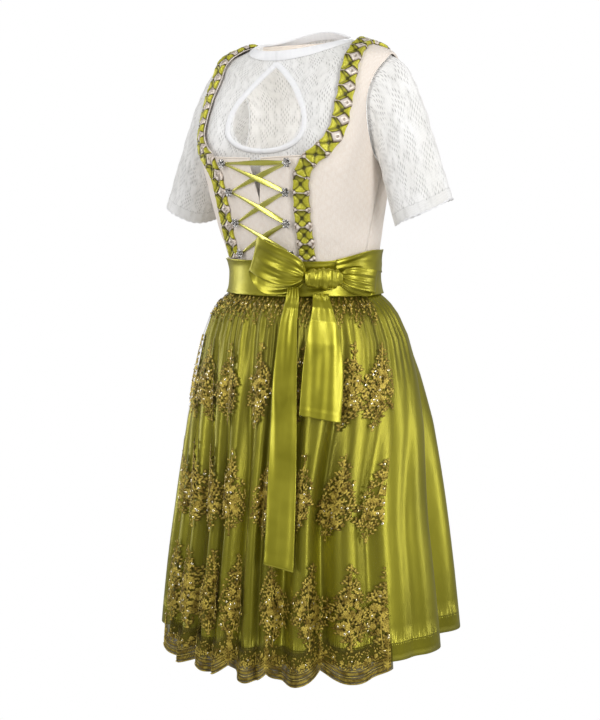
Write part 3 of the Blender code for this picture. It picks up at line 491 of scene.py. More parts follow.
def along(rows, t):
    """The rows of a table at the places t, on a smooth curve through them."""
    rows, t = np.asarray(rows, float), np.asarray(t, float)
    i = np.clip(np.floor(t).astype(int), 0, len(rows) - 2)
    f = (t - i)[..., None]
    a, b, c, d = (rows[np.clip(i + k, 0, len(rows) - 1)] for k in (-1, 0, 1, 2))
    return 0.5 * (2 * b + (c - a) * f + (2 * a - 5 * b + 4 * c - d) * f**2 + (3 * b - a - 3 * c + d) * f**3)


def smooth(low, high, x):
    t = np.clip((np.asarray(x, float) - low) / (high - low), 0.0, 1.0)
    return t * t * (3 - 2 * t)


def unit(v):
    return v / np.maximum(np.linalg.norm(v, axis=-1, keepdims=True), 1e-12)


def figure(angle, level):
    """Points of the stand, at angles in radians and levels counted in rings."""
    angle, level = np.broadcast_arrays(np.asarray(angle, float), np.asarray(level, float))
    row = along(FIGURE, level)
    s, c = np.sin(angle), np.cos(angle)
    deep, end, square = (np.where(c > 0, row[..., f], row[..., b]) for f, b in ((4, 5), (0, 2), (6, 7)))
    reach = ((np.abs(s) / row[..., 3]) ** square + (np.abs(c) / deep) ** square) ** (-1 / square)
    height = row[..., 1] + (end - row[..., 1]) * np.abs(c) ** 1.3
    return np.stack([reach * s, -reach * c, height], -1)


def level_at(angle, height):
    """The level at which the stand has that height, found by halving."""
    angle, height = np.broadcast_arrays(np.asarray(angle, float), np.asarray(height, float))
    low, high = np.zeros(angle.shape), np.full(angle.shape, NECK_LEVEL)
    for _ in range(26):
        middle = (low + high) / 2
        under = figure(angle, middle)[..., 2] < height
        low, high = np.where(under, middle, low), np.where(under, high, middle)
    return (low + high) / 2


def tangents(angle, level):
    """Which way the stand goes on across and up at a mark."""
    step = 0.01
    across = (figure(angle + step, level) - figure(angle - step, level)) / (2 * step)
    up = (figure(angle, level + step) - figure(angle, level - step)) / (2 * step)
    return across, up


def normal(angle, level):
    return unit(np.cross(*tangents(angle, np.minimum(level, NECK_LEVEL - 0.02))))


print("ring at the bust:", np.round(figure(np.array([0, SIDE]), 6.0), 3).tolist())


# %% Lines and marks on the stand
def on_figure(angle, level, out=0.0):
    """Points of the stand, moved out from it."""
    return figure(angle, level) + normal(angle, level) * np.asarray(out)[..., None]


def slide(marks, step):
    """The marks, each an angle and a level, moved by a step along the stand."""
    across, up = tangents(marks[..., 0], marks[..., 1])
    a, b, c = ((p * q).sum(-1) for p, q in ((across, across), (across, up), (up, up)))
    p, q = (across * step).sum(-1), (up * step).sum(-1)
    size = a * c - b * b
    return marks + np.stack([(p * c - q * b) / size, (a * q - b * p) / size], -1)


def marks_along(line, count):
    """Marks evenly along a line that is given by angle in degrees and height."""
    fine = along(line, np.linspace(0, len(line) - 1, 481))
    angle = np.radians(fine[:, 0])
    level = level_at(angle, fine[:, 1])
    run = run_of(figure(angle, level))
    want = np.linspace(0, run[-1], count)
    return np.stack([np.interp(want, run, angle), np.interp(want, run, level)], -1)


def run_of(points):
    """How far along a line of points each one is."""
    return np.concatenate([[0.0], np.cumsum(np.linalg.norm(np.diff(points, axis=0), axis=-1))])


def beside(marks, distance):
    """The line beside another, at a distance to its left going on. It may be many lines at once."""
    places = figure(marks[:, 0], marks[:, 1])
    ahead = unit(np.gradient(places, axis=0))
    side = np.cross(normal(marks[:, 0], marks[:, 1]), ahead)
    distance = np.asarray(distance, float)
    if distance.ndim == 0:
        return slide(marks, side * distance)
    return slide(np.repeat(marks[:, None], len(distance), 1), side[:, None] * distance[None, :, None])


def waver(points, scale, seed=0.0):
    """Smooth noise, from -1 to 1, at an array of points."""
    flat = (np.asarray(points, float) * scale + seed).reshape(-1, 3)
    found = [noise.noise(Vector(p)) for p in flat]
    return np.array(found).reshape(np.shape(points)[:-1])


def flipped(grid):
    """The same points on the wearer's right."""
    return grid * np.array([-1.0, 1.0, 1.0])


def both_sides(grid):
    return ("left", grid), ("right", flipped(grid))


print("a mark is an angle and a level:", np.round(level_at(SIDE, -0.2), 3))

# %% [markdown]
# ## One way to make cloth
#
# Cloth on a dress is cut, sewn and pulled tight, and only its lower parts hang. A simulation would
# let it all fall, and would never put a fold where it belongs, so a cloth here is a grid of points
# that are worked out, rows down it and columns across. It gets a map in metres, so that patterns
# keep their size, and a thin wall, so that it has two sides and a real edge. On gathered cloth the
# map is given a width, because the flat cloth is wider than the place that it fills.


# %% Small jobs that every piece needs
def choose(piece):
    """Operators work on what is selected, so this piece is, and nothing else."""
    bpy.ops.object.select_all(action="DESELECT")
    piece.select_set(True)
    bpy.context.view_layer.objects.active = piece


def new_piece(name, points, faces, material, marks=None):
    """A mesh as an object, with its material and the numbers that it carries at its points."""
    mesh = bpy.data.meshes.new(name)
    mesh.from_pydata(np.reshape(points, (-1, 3)).tolist(), [], faces)
    for mark, values in (marks or {}).items():
        held = mesh.attributes.new(mark, "FLOAT", "POINT")
        held.data.foreach_set("value", np.asarray(values, np.float32).ravel())
    mesh.materials.append(material)
    mesh.polygons.foreach_set("use_smooth", np.ones(len(faces), bool))
    piece = bpy.data.objects.new(name, mesh)
    bpy.context.scene.collection.objects.link(piece)
    return piece


def thicken(piece, wall):
    """Gives a sheet a wall that grows inwards, and applies it."""
    thick = piece.modifiers.new("wall", "SOLIDIFY")
    thick.thickness, thick.offset = wall, -1
    choose(piece)
    bpy.ops.object.modifier_apply(modifier=thick.name)


def wear(piece, slot, *nodes):
    """The piece rides on the one body and stands for its solids. slot is not used."""
    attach(piece, "root")
    if nodes:
        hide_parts(*nodes)
    return piece


print("solids to dress:", len(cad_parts))


# %% Grid to cloth
def cloth_map(grid, closed, width=None, foot=None):
    """Across and down for each point. foot counts up from the last row instead, as for a hem."""
    ring = np.concatenate([grid, grid[:, :1]], 1) if closed else grid
    steps = np.linalg.norm(np.diff(ring, axis=1), axis=-1).mean(0)
    across = np.concatenate([[0.0], np.cumsum(steps)])
    if width:
        across = np.linspace(0, width, ring.shape[1])
    falls = np.linalg.norm(np.diff(ring, axis=0), axis=-1).mean(1)
    down = np.concatenate([[0.0], np.cumsum(falls)])
    if foot is not None:
        down = foot + down[-1] - down
    return np.stack(np.broadcast_arrays(across[None, :], down[:, None]), -1)


def cloth(name, grid, material, wall=0.5 * MM, closed=False, axis=(0.0, 0.0), marks=None, **fit):
    """A sheet through a grid. closed joins its columns round. Its outside faces away from axis."""
    grid = np.asarray(grid, float)
    rows, columns = grid.shape[:2]
    uv = cloth_map(grid, closed, **fit)
    r, c = np.meshgrid(np.arange(rows - 1), np.arange(columns - (not closed)), indexing="ij")
    r, c = r.ravel(), c.ravel()
    c2 = (c + 1) % columns
    faces = np.stack([r, r, r + 1, r + 1], -1) * columns + np.stack([c, c2, c2, c], -1)
    corners = np.stack([uv[r, c], uv[r, c + 1], uv[r + 1, c + 1], uv[r + 1, c]], 1)
    p = grid.reshape(-1, 3)[faces]
    faced = np.cross(p[:, 2] - p[:, 0], p[:, 3] - p[:, 1])
    if (faced[:, :2] * (p.mean(1)[:, :2] - np.asarray(axis))).sum() < 0:
        faces, corners = faces[:, ::-1], corners[:, ::-1]
    piece = new_piece(name, grid, faces.tolist(), material, marks)
    layer = piece.data.uv_layers.new(name="cloth")
    layer.data.foreach_set("uv", corners.reshape(-1).astype(np.float32))
    if wall:
        thicken(piece, wall)
    return piece


sample = [[(x, 0.0, z) for x in (0.0, 0.1, 0.2)] for z in (0.0, -0.1)]
print("a cloth of 20 by 10 cm ends at", cloth_map(np.array(sample), False)[-1, -1].tolist())


# %% Cords, tapes and knots
def loft(name, rings, material, closed=False):
    """A closed skin over rings of points, with flat ends, or joined end to start."""
    rings = np.asarray(rings, float)
    count, sides = rings.shape[:2]
    faces = []
    for i in range(count if closed else count - 1):
        for k in range(sides):
            a, b = i * sides, ((i + 1) % count) * sides
            n = (k + 1) % sides
            faces.append((a + k, a + n, b + n, b + k))
    if not closed:
        faces.append(tuple(range(sides))[::-1])
        faces.append(tuple((count - 1) * sides + k for k in range(sides)))
    piece = new_piece(name, rings, faces, material)
    uv = piece.data.uv_layers.new(name="cloth")
    run = run_of(np.concatenate([rings.mean(1), rings.mean(1)[:1]]))
    girth = np.linalg.norm(rings[0] - np.roll(rings[0], 1, 0), axis=-1).sum()
    for face in piece.data.polygons:
        for loop in face.loop_indices:
            point = piece.data.loops[loop].vertex_index
            uv.data[loop].uv = (girth * (point % sides) / sides, run[point // sides])
    choose(piece)
    bpy.ops.object.mode_set(mode="EDIT")
    bpy.ops.mesh.select_all(action="SELECT")
    bpy.ops.mesh.normals_make_consistent(inside=False)
    bpy.ops.object.mode_set(mode="OBJECT")
    bpy.ops.object.shade_smooth_by_angle(angle=math.radians(50))
    return piece


def tube(name, path, radius, material, sides=8, closed=False):
    """A round cord along a path of points."""
    path = np.asarray(path, float)
    ahead = unit(np.roll(path, -1, 0) - np.roll(path, 1, 0) if closed else np.gradient(path, axis=0))
    first = unit(np.cross(ahead, path * np.array([1, 1, 0]) + np.array([0, 0, 1e-4])))
    second = np.cross(ahead, first)
    turn = np.linspace(0, 2 * math.pi, sides, endpoint=False)[None, :, None]
    rings = path[:, None] + radius * np.cos(turn) * first[:, None] + radius * np.sin(turn) * second[:, None]
    return loft(name, rings, material, closed)


print("cords and tapes are skins over rings of points")

# %% [markdown]
# ## Blouse
#
# The blouse is a front and a back of lace on the same stand, a little inside the bodice, with a
# teardrop cut out of the front. A Boolean would cut the hole and leave slivers along it. Here the
# faces of the grid that lie in the hole are deleted, and a satin tape lies over the rough edge, as
# a binding does. The sleeves are curves from the armhole to a cuff that opens down and forward.

# %% Where the blouse lies
BLOUSE_INSET = 5.5 * MM
HOLLOW = np.array([  # how much deeper the blouse's middle lies, at a height
    (-0.30, 0.010), (-0.25, 0.014), (-0.19, 0.018), (-0.14, 0.014), (-0.10, 0.005), (-0.06, 0.0),
])
BLOUSE_HEM = -0.290
ARM_FRONT, ARM_BACK = 20.0, 19.0  # degrees from the side line
ARM_BOTTOM, ARM_TOP = -0.203, -0.0235
ARMHOLE_EASE = 0.004


def blouse_at(angle, level, out=0.0):
    """Points of the blouse at marks of the stand, moved out by a distance."""
    point = figure(angle, level)
    width = 1 - smooth(math.radians(24), math.radians(52), np.abs(angle))
    inset = BLOUSE_INSET + np.interp(point[..., 2], HOLLOW[:, 0], HOLLOW[:, 1]) * width
    return point + normal(angle, level) * (out - inset)[..., None]


def armhole_angle(height, front, ease=0.0):
    """How far from the side line the armhole's edge is at a height, in radians."""
    bottom, top = ARM_BOTTOM - ease, ARM_TOP + ease
    middle, half = (bottom + top) / 2, (top - bottom) / 2
    share = np.maximum(1 - ((height - middle) / half) ** 2, 0.0)
    reach = np.where(front, ARM_FRONT, ARM_BACK)
    return np.radians(reach + ease * 400) * share ** np.where(height > middle, 0.75, 0.5)


def blouse_edge(level, front):
    """The angle at which the front or back ends, at the side seam or the armhole."""
    side = np.full(np.shape(level), SIDE)
    for _ in range(8):
        reach = armhole_angle(figure(side, level)[..., 2], front, -ARMHOLE_EASE)
        side = SIDE - reach if front else SIDE + reach
    return side


def blouse_grid(front, rows, columns):
    low = float(level_at(SIDE, BLOUSE_HEM))
    level = np.linspace(low, NECK_LEVEL - 0.06, rows)
    edge = blouse_edge(level, front)[:, None]
    share = np.linspace(0, 1, columns)[None]
    angle = -edge + 2 * edge * share if front else edge + (2 * math.pi - 2 * edge) * share
    grid = blouse_at(angle, level[:, None])
    ease = 0.5 * MM * waver(grid, (34, 34, 12)) + 0.3 * MM * waver(grid, 90)
    return grid + normal(angle, level[:, None]) * ease[..., None]


print("armhole, from its bottom to its top:", round(ARM_TOP - ARM_BOTTOM, 4))

# %% Keyhole
KEYHOLE_FOOT, KEYHOLE_TOP, KEYHOLE_HALF_WIDTH = -0.177, -0.043, 0.0655
KEYHOLE_SWELL = 1.30
BINDING_WIDTH, TAPE_UNDER = 0.010, 3 * MM


def keyhole(count, grow=0.0):
    """The teardrop's outline seen from the front, as x and z, moved outwards by grow."""
    turn = np.arange(count) * 2 * math.pi / count
    rise = (1 - np.cos(turn)) / 2
    wide = KEYHOLE_HALF_WIDTH * np.sin(turn) * (1 - rise) ** 0.5 * KEYHOLE_SWELL
    outline = np.stack([wide, KEYHOLE_FOOT + (KEYHOLE_TOP - KEYHOLE_FOOT) * rise], -1)
    ahead = unit(np.roll(outline, -1, 0) - np.roll(outline, 1, 0))
    return outline + np.stack([ahead[:, 1], -ahead[:, 0]], -1) * np.asarray(grow)[..., None]


def in_keyhole(x, z, grow):
    """Whether places seen from the front are inside the teardrop."""
    rise = np.clip((z - KEYHOLE_FOOT + grow) / (KEYHOLE_TOP - KEYHOLE_FOOT + 2 * grow), 0, 1)
    half = KEYHOLE_HALF_WIDTH * KEYHOLE_SWELL * 2 * np.sqrt(rise * (1 - rise)) * np.sqrt(1 - rise) + grow
    return (np.abs(x) < half) & (rise > 0) & (rise < 1)


def blouse_facing(x, z, out):
    """The points of the blouse front that lie behind x and z, moved out."""
    angle = np.arctan2(x, 0.11)
    for _ in range(6):
        level = level_at(angle, z)
        angle = np.arctan2(x, -blouse_at(angle, level)[..., 1])
    return blouse_at(angle, level, np.asarray(out))


print("keyhole width:", round(float(np.ptp(keyhole(150, np.zeros(150))[:, 0])), 4))


# %% Blouse front and back
def blouse_front():
    """The front, with the faces in the keyhole deleted up to a little under its tape."""
    piece = cloth("blouse_front_lace", blouse_grid(True, 110, 120), LACE, wall=0)
    middle = np.array([face.center for face in piece.data.polygons])
    hole = in_keyhole(middle[:, 0], middle[:, 2], TAPE_UNDER)
    choose(piece)
    bpy.ops.object.mode_set(mode="EDIT")
    bpy.ops.mesh.select_mode(type="FACE")
    bpy.ops.mesh.select_all(action="DESELECT")
    bpy.ops.object.mode_set(mode="OBJECT")
    piece.data.polygons.foreach_set("select", hole)
    bpy.ops.object.mode_set(mode="EDIT")
    bpy.ops.mesh.delete(type="FACE")
    bpy.ops.object.mode_set(mode="OBJECT")
    thicken(piece, 0.5 * MM)
    return piece


front_lace = wear(blouse_front(), "white_lace", "blouse_front")
back_lace = cloth("blouse_back_lace", blouse_grid(False, 90, 110), LACE)
wear(back_lace, "white_lace", "blouse_back")
print("lace faces in front and behind:", len(front_lace.data.polygons), len(back_lace.data.polygons))

# %% White tape round the keyhole and the neck
NECK_BAND = 0.015


def binding():
    """A padded tape round the keyhole: flat underneath and rounded on top."""
    count = 150
    profile = [
        (0.0, 0.2), (0.02, 1.6), (0.15, 2.7), (0.5, 3.3),
        (0.85, 2.7), (0.98, 1.6), (1.0, 0.2), (0.5, 0.1),
    ]
    rings = []
    for share, rise in profile:
        line = keyhole(count, np.full(count, share * BINDING_WIDTH))
        rings.append(blouse_facing(line[:, 0], line[:, 1], np.full(count, rise * MM)))
    return loft("keyhole_tape", np.stack(rings, 1), WHITE_TAPE, closed=True)


def below(angle, distance):
    """The level reached by going down the stand from the neck by a distance."""
    fine = np.linspace(NECK_LEVEL, NECK_LEVEL - 2.0, 60)
    levels = []
    for a in angle:
        run = run_of(figure(a, fine))
        levels.append(np.interp(distance, run, fine))
    return np.array(levels)


def neck_band():
    """A tape folded over the neck's edge, so that it shows outside and inside."""
    turn = np.linspace(0, 2 * math.pi, 180, endpoint=False)
    angle = np.where(turn > math.pi, turn - 2 * math.pi, turn)
    profile = [
        (1.0, 0.6), (1.0, 1.9), (0.86, 2.7), (0.5, 3.1), (0.12, 2.7), (0.0, 2.1),
        (-0.03, 0.4), (0.0, -1.2), (0.3, -1.8), (0.8, -1.7), (0.84, -0.4), (0.9, 0.4),
    ]
    rings = []
    for share, rise in profile:
        level = below(angle, NECK_BAND * share)
        ring = blouse_at(angle, level, np.full(len(angle), rise * MM))
        rings.append(ring + np.array([0, 0, (1 - share) * MM]))
    return loft("neck_tape", np.stack(rings, 1), WHITE_TAPE, closed=True)


wear(binding(), "white_satin", "blouse_keyhole_binding")
wear(neck_band(), "white_satin", "blouse_neck_band")
print("tapes, wide:", BINDING_WIDTH, NECK_BAND)

# %% Sleeves
CUFF_CENTRE = np.array([0.238, -0.008, -0.280])
CUFF_ACROSS, CUFF_DEEP = 0.046, 0.047
CUFF_SLOPE = np.array([0.40, 0.22])
ARM_TILT, CUFF_HEM, CUFF_SCALLOPS = math.radians(21), 0.020, 13


def sleeve_grid(columns, rows):
    """Curves from the armhole to the cuff, gathered at the shoulder and creased below."""
    turn = np.linspace(0, 2 * math.pi, columns, endpoint=False)
    middle, half = (ARM_BOTTOM + ARM_TOP) / 2, (ARM_TOP - ARM_BOTTOM) / 2 - ARMHOLE_EASE
    height = middle + half * np.cos(turn)
    front = np.sin(turn) >= 0
    reach = armhole_angle(height, front, -ARMHOLE_EASE)
    angle = np.where(front, SIDE - reach, SIDE + reach)
    start = blouse_at(angle, level_at(angle, height), np.full(columns, 1.6 * MM))
    round_x, round_y = CUFF_ACROSS * np.cos(turn), -CUFF_DEEP * np.sin(turn)
    scallop = 1.6 * MM * np.abs(np.sin(turn * CUFF_SCALLOPS))
    slope = CUFF_SLOPE[0] * round_x + CUFF_SLOPE[1] * round_y + 0.0012 * np.cos(4 * turn) - scallop
    end = CUFF_CENTRE + np.stack([round_x, round_y, slope], -1)
    top = (1 + np.cos(turn)) / 2
    zero = np.zeros(columns)
    p1 = start + np.stack([0.012 + 0.034 * top, zero, -0.010 + 0.006 * top], -1)
    down = np.array([math.sin(ARM_TILT), 0, -math.cos(ARM_TILT)])
    p2 = end - down * (0.050 + 0.070 * top)[:, None]
    down_arm = np.linspace(0, 1, rows)
    t = (down_arm**1.1)[:, None, None]
    s = 1 - t
    grid = start * s**3 + p1 * 3 * s * s * t + p2 * 3 * s * t * t + end * t**3
    away = unit(grid - grid.mean(1, keepdims=True))
    creases = 1.6 * MM * waver(grid, (26, 26, 60)) + 0.9 * MM * waver(grid, (75, 75, 30), 5.0)
    fade = np.sin(down_arm * math.pi)[:, None] ** 0.5
    gathers = 0.8 * MM * np.cos(turn * 34)[None] * np.exp(-down_arm / 0.07)[:, None]
    return grid + away * (creases * fade + gathers * top[None])[..., None]


for side, grid in both_sides(sleeve_grid(150, 90)):
    to_edge = np.linalg.norm(grid - grid[-1:], axis=-1)
    hem = {"hem": np.clip(1 - to_edge / CUFF_HEM, 0, 1)}
    arm = grid.reshape(-1, 3).mean(0)[:2]
    piece = cloth(f"sleeve_{side}_lace", grid, LACE, closed=True, axis=arm, marks=hem)
    wear(piece, "white_lace", f"blouse_sleeve_{side}")
    edge = tube(f"sleeve_{side}_edge", grid[-1] + np.array([0, 0, 0.3 * MM]), 0.9 * MM, WHITE_TAPE, 6, True)
    wear(edge, "white_satin")
print("cuffs are", round(2 * CUFF_ACROSS, 3), "across")

# %% [markdown]
# ## Bodice
#
# The panels meet at the princess seams, the side seams and the shoulders. One sheet with seams drawn
# on it would look printed, so each panel is its own patch between two lines on the stand, and its
# edges dip into the seam. Jacquard is firm: the wrinkles are few and shallow, and they gather at
# the waist and below the lacing, where the cloth is pulled. Piping covers the raw edges.

# %% Lines of the bodice
SEAM_GAP = 0.05 * MM
WAIST_SEAM = -0.392
PRINCESS_LINE = [  # degrees round from the front, and height
    (38.0, -0.392), (36.6, -0.350), (35.0, -0.319), (33.7, -0.295),
    (33.1, -0.270), (32.7, -0.246), (33.0, -0.222), (33.6, -0.1915),
]
NECKLINE = [
    (37.4, -0.199), (44.6, -0.181), (50.2, -0.160), (53.5, -0.139), (55.9, -0.114), (58.9, -0.089),
    (62.6, -0.060), (67.0, -0.034), (76.0, -0.014), (90.0, -0.002), (102.0, -0.005), (116.0, -0.021),
    (132.0, -0.044), (150.0, -0.065), (166.0, -0.075), (180.0, -0.078),
]
STRAP_EDGE, ARMHOLE_CUT = 0.0135, 0.002
SIDE_SEAM = np.array([(-0.392, 82.0), (-0.300, 84.0), (-0.230, 88.0), (-0.203, 90.0)])
GAP_TOP, GAP_CLOSED_AT = 0.011, -0.275
PRINCESS_ROWS, PANEL_ROWS, BACK_LOW_ROWS = 8, 17, 11
FINER = 7  # rows here for each row of the solids
PANEL_OUT, WRINKLE, SEWN_DOWN = 0.5 * MM, 0.8 * MM, 0.9 * MM


def closure_x(height):
    return SEAM_GAP + GAP_TOP * smooth(GAP_CLOSED_AT, NECKLINE[0][1], height)


def stretched(values, rows):
    """A line of marks read at more rows, on a smooth curve through them."""
    return along(np.asarray(values, float), np.linspace(0, len(values) - 1, rows))


def panel_grid(inner, outer, columns):
    """A panel between two lines of marks, with its wrinkles, on the bodice's outer face."""
    share = np.linspace(0, 1, columns)[None, :, None]
    marks = inner[:, None] * (1 - share) + outer[:, None] * share
    angle, level = marks[..., 0], marks[..., 1]
    grid = on_figure(angle, level)
    waist = 1 - smooth(-0.37, -0.27, grid[..., 2])
    under = np.exp(-(((grid[..., 2] + 0.215) / 0.03) ** 2))
    folds = 0.9 * waver(grid, (40, 40, 90), 2.0) * waist + 0.45 * waver(grid, (60, 60, 22), 9.0)
    folds = folds + 0.35 * waver(grid, (30, 30, 120), 4.0) * under
    from_edge = np.minimum(np.arange(columns), columns - 1 - np.arange(columns))[None]
    sewn = SEWN_DOWN * np.exp(-from_edge / 0.8)
    return grid + normal(angle, level) * (PANEL_OUT + folds * WRINKLE - sewn)[..., None]


def panel(node, grid):
    piece = cloth(f"{node}_cloth", grid, JACQUARD, wall=1.2 * MM)
    wear(piece, "beige_jacquard", node)


print("lines of the bodice:", len(PRINCESS_LINE), "and", len(NECKLINE), "marks")

# %% Centre fronts
princess = marks_along(PRINCESS_LINE, (PRINCESS_ROWS - 1) * FINER + 1)
inner_seam, outer_seam = beside(princess, SEAM_GAP), beside(princess, -SEAM_GAP)
share = (inner_seam[:, 1] - inner_seam[0, 1]) / (inner_seam[-1, 1] - inner_seam[0, 1])
height = figure(np.zeros(len(share)), inner_seam[:, 1])[:, 2] - 0.003 * smooth(0.6, 1.0, share)
closure = np.stack([closure_x(height) / 0.14, level_at(np.zeros(len(share)), height)], -1)
centre_grid = panel_grid(closure, inner_seam, 34)
for side, grid in both_sides(centre_grid):
    panel(f"bodice_centre_{side}", grid)
print("front opening at the top:", round(2 * float(closure_x(height[-1])), 4))


# %% Side fronts with their straps
def side_line(front, rows, even=False):
    """Side seam from the waist to the armhole, then the armhole's edge to the shoulder tip."""
    low = level_at(SIDE, WAIST_SEAM)
    high = level_at(SIDE, ARM_TOP + 0.0015)
    level = np.linspace(float(low), float(high), 900 if even else rows)
    height = figure(np.full(len(level), SIDE), level)[:, 2]
    reach = armhole_angle(height, front, ARMHOLE_CUT) + SEAM_GAP / 0.14
    seam = np.radians(np.interp(height, SIDE_SEAM[:, 0], SIDE_SEAM[:, 1]))
    line = np.stack([seam - reach if front else seam + reach, level], -1)
    if even:
        run = run_of(figure(line[:, 0], line[:, 1]))
        want = np.linspace(0, run[-1], rows)
        line = np.stack([np.interp(want, run, line[:, k]) for k in (0, 1)], -1)
    return line


def shoulder_level():
    """The level of the strap's inner edge at the shoulder seam."""
    level = float(level_at(SIDE, NECKLINE[9][1]))
    return slide(np.array([SIDE, level]), np.array([-STRAP_EDGE, 0, 0]))[1]


def shoulder_ends(inner, outer, gap):
    """Brings both lines to the shoulder seam, a gap short of it."""
    inner[-1] = (SIDE + gap / 0.12, shoulder_level())
    outer[-1] = (SIDE + gap / 0.06, outer[-1, 1])


low = beside(marks_along(PRINCESS_LINE, PRINCESS_ROWS), -SEAM_GAP)
front_neck = [mark for mark in NECKLINE if mark[0] <= 90.0]
edge = beside(marks_along(front_neck, PANEL_ROWS - len(low) + 1), STRAP_EDGE)
inner, outer = np.concatenate([low, edge[1:]]), side_line(True, PANEL_ROWS)
shoulder_ends(inner, outer, -SEAM_GAP)
rows = (PANEL_ROWS - 1) * FINER + 1
fine_outer = side_line(True, rows, even=True)
fine_outer[-1] = outer[-1]
fine_inner = stretched(inner, rows)
fine_inner[: len(outer_seam)] = outer_seam
side_grid = panel_grid(fine_inner, fine_outer, 44)
for side, grid in both_sides(side_grid):
    panel(f"bodice_side_{side}", grid)
print("side front, from waist to shoulder:", round(float(np.ptp(side_grid[..., 2])), 3))

# %% Back, cut on the fold
back_neck = [mark for mark in reversed(NECKLINE) if mark[0] >= 90.0]
edge = beside(marks_along(back_neck, PANEL_ROWS - BACK_LOW_ROWS + 1), -STRAP_EDGE)
edge[0, 0] = math.pi
start = float(level_at(math.pi, WAIST_SEAM))
middle = np.stack([np.full(BACK_LOW_ROWS, math.pi), np.linspace(start, edge[0, 1], BACK_LOW_ROWS)], -1)
inner, outer = np.concatenate([middle, edge[1:]]), side_line(False, PANEL_ROWS)
shoulder_ends(inner, outer, SEAM_GAP)
fine_inner, fine_outer = stretched(inner, rows), side_line(False, rows, even=True)
fine_inner[: (BACK_LOW_ROWS - 1) * FINER + 1, 0] = math.pi
fine_outer[-1] = outer[-1]
back_grid = panel_grid(fine_outer, fine_inner, 46)
whole_back = np.concatenate([back_grid, flipped(back_grid)[:, -2::-1]], 1)
panel("bodice_back", whole_back)
print("back panel:", whole_back.shape[:2])


# %% Piping round the armholes and along the front edges
def evenly(path, count, closed=False, soften=0):
    """A path read at even steps, and softened a little."""
    path = np.concatenate([path, path[:1]]) if closed else path
    run = run_of(path)
    want = np.linspace(0, run[-1], count, endpoint=not closed)
    path = np.stack([np.interp(want, run, path[:, k]) for k in range(3)], -1)
    for _ in range(soften):
        path = (np.roll(path, 1, 0) + 2 * path + np.roll(path, -1, 0)) / 4
    return path


PIPING_FROM = ARM_BOTTOM - 0.5 * MM
armhole_front = side_grid[side_grid[:, -1, 2] > PIPING_FROM, -1]
armhole_back = back_grid[back_grid[:, 0, 2] > PIPING_FROM, 0]
round_arm = evenly(np.concatenate([armhole_front, armhole_back[::-1]]), 150, True, soften=3)
front_edge = evenly(centre_grid[:, 0] + np.array([0.9 * MM, 0, 0]), 60)
top_edge = evenly(centre_grid[-1], 40)
for k, side in enumerate(("left", "right")):
    arm, front, top = (both_sides(path)[k][1] for path in (round_arm, front_edge, top_edge))
    wear(tube(f"armhole_piping_{side}", arm, 1.5 * MM, JACQUARD, closed=True), "beige_jacquard")
    wear(tube(f"front_piping_{side}", front, 1.2 * MM, JACQUARD), "beige_jacquard")
    wear(tube(f"top_piping_{side}", top, 1.4 * MM, JACQUARD), "beige_jacquard")
print("piping round an arm:", round(float(run_of(round_arm)[-1]), 3))

# %% [markdown]
# ## Ruched trim
#
# The trim is a ribbon lined in beige, pinched at each unit so that its edges turn back into mouths.
# Seen from the front it is a row of green squares, each sewn down in its middle and creased to its
# corners. Seen from the side the mouths show their beige lining. One unit could be modelled and
# copied, but they differ, and the line bends at every one: up the princess seam, round the neckline
# and over the shoulder to the back. So the trim is a field of heights that is worked out along it.

# %% Mouths
TRIM_WIDTH, TRIM_PITCH, TRIM_CLEAR = 0.029, 0.0275, 1.1 * MM
TRIM_ROWS, TRIM_COLUMNS = 22, 23  # rows are for one unit
SASH_TOP, SASH_BOTTOM = -0.361, -0.418

# Each mouth's middle across the trim, its half length in units and its half width. Inner is above 0.
SMALL_PAIR = ((0.84, 0.17, 0.50), (-0.84, 0.17, 0.50))
WIDE_PAIR = ((0.80, 0.30, 0.62), (-0.80, 0.30, 0.62))
OUTER_MOUTH = ((-0.34, 0.36, 0.78), (0.95, 0.10, 0.30))
INNER_MOUTH = ((0.48, 0.40, 0.80), (-0.95, 0.12, 0.30))


def mouths(unit, kind):
    """The two mouths at a unit's start. Those on the strap open more than those on the front."""
    if kind == "left":
        return WIDE_PAIR if unit < 3 else SMALL_PAIR if unit < 8 else OUTER_MOUTH
    if kind == "right":
        return INNER_MOUTH
    return OUTER_MOUTH if unit % 2 else WIDE_PAIR


def slide_rows(marks, distances):
    """Marks beside a line, with their own distances in every row."""
    places = figure(marks[:, 0], marks[:, 1])
    side = np.cross(normal(marks[:, 0], marks[:, 1]), unit(np.gradient(places, axis=0)))
    count = distances.shape[1]
    return slide(np.repeat(marks[:, None], count, 1), side[:, None] * distances[..., None])


print("the trim over the strap opens as", mouths(4, "right"))


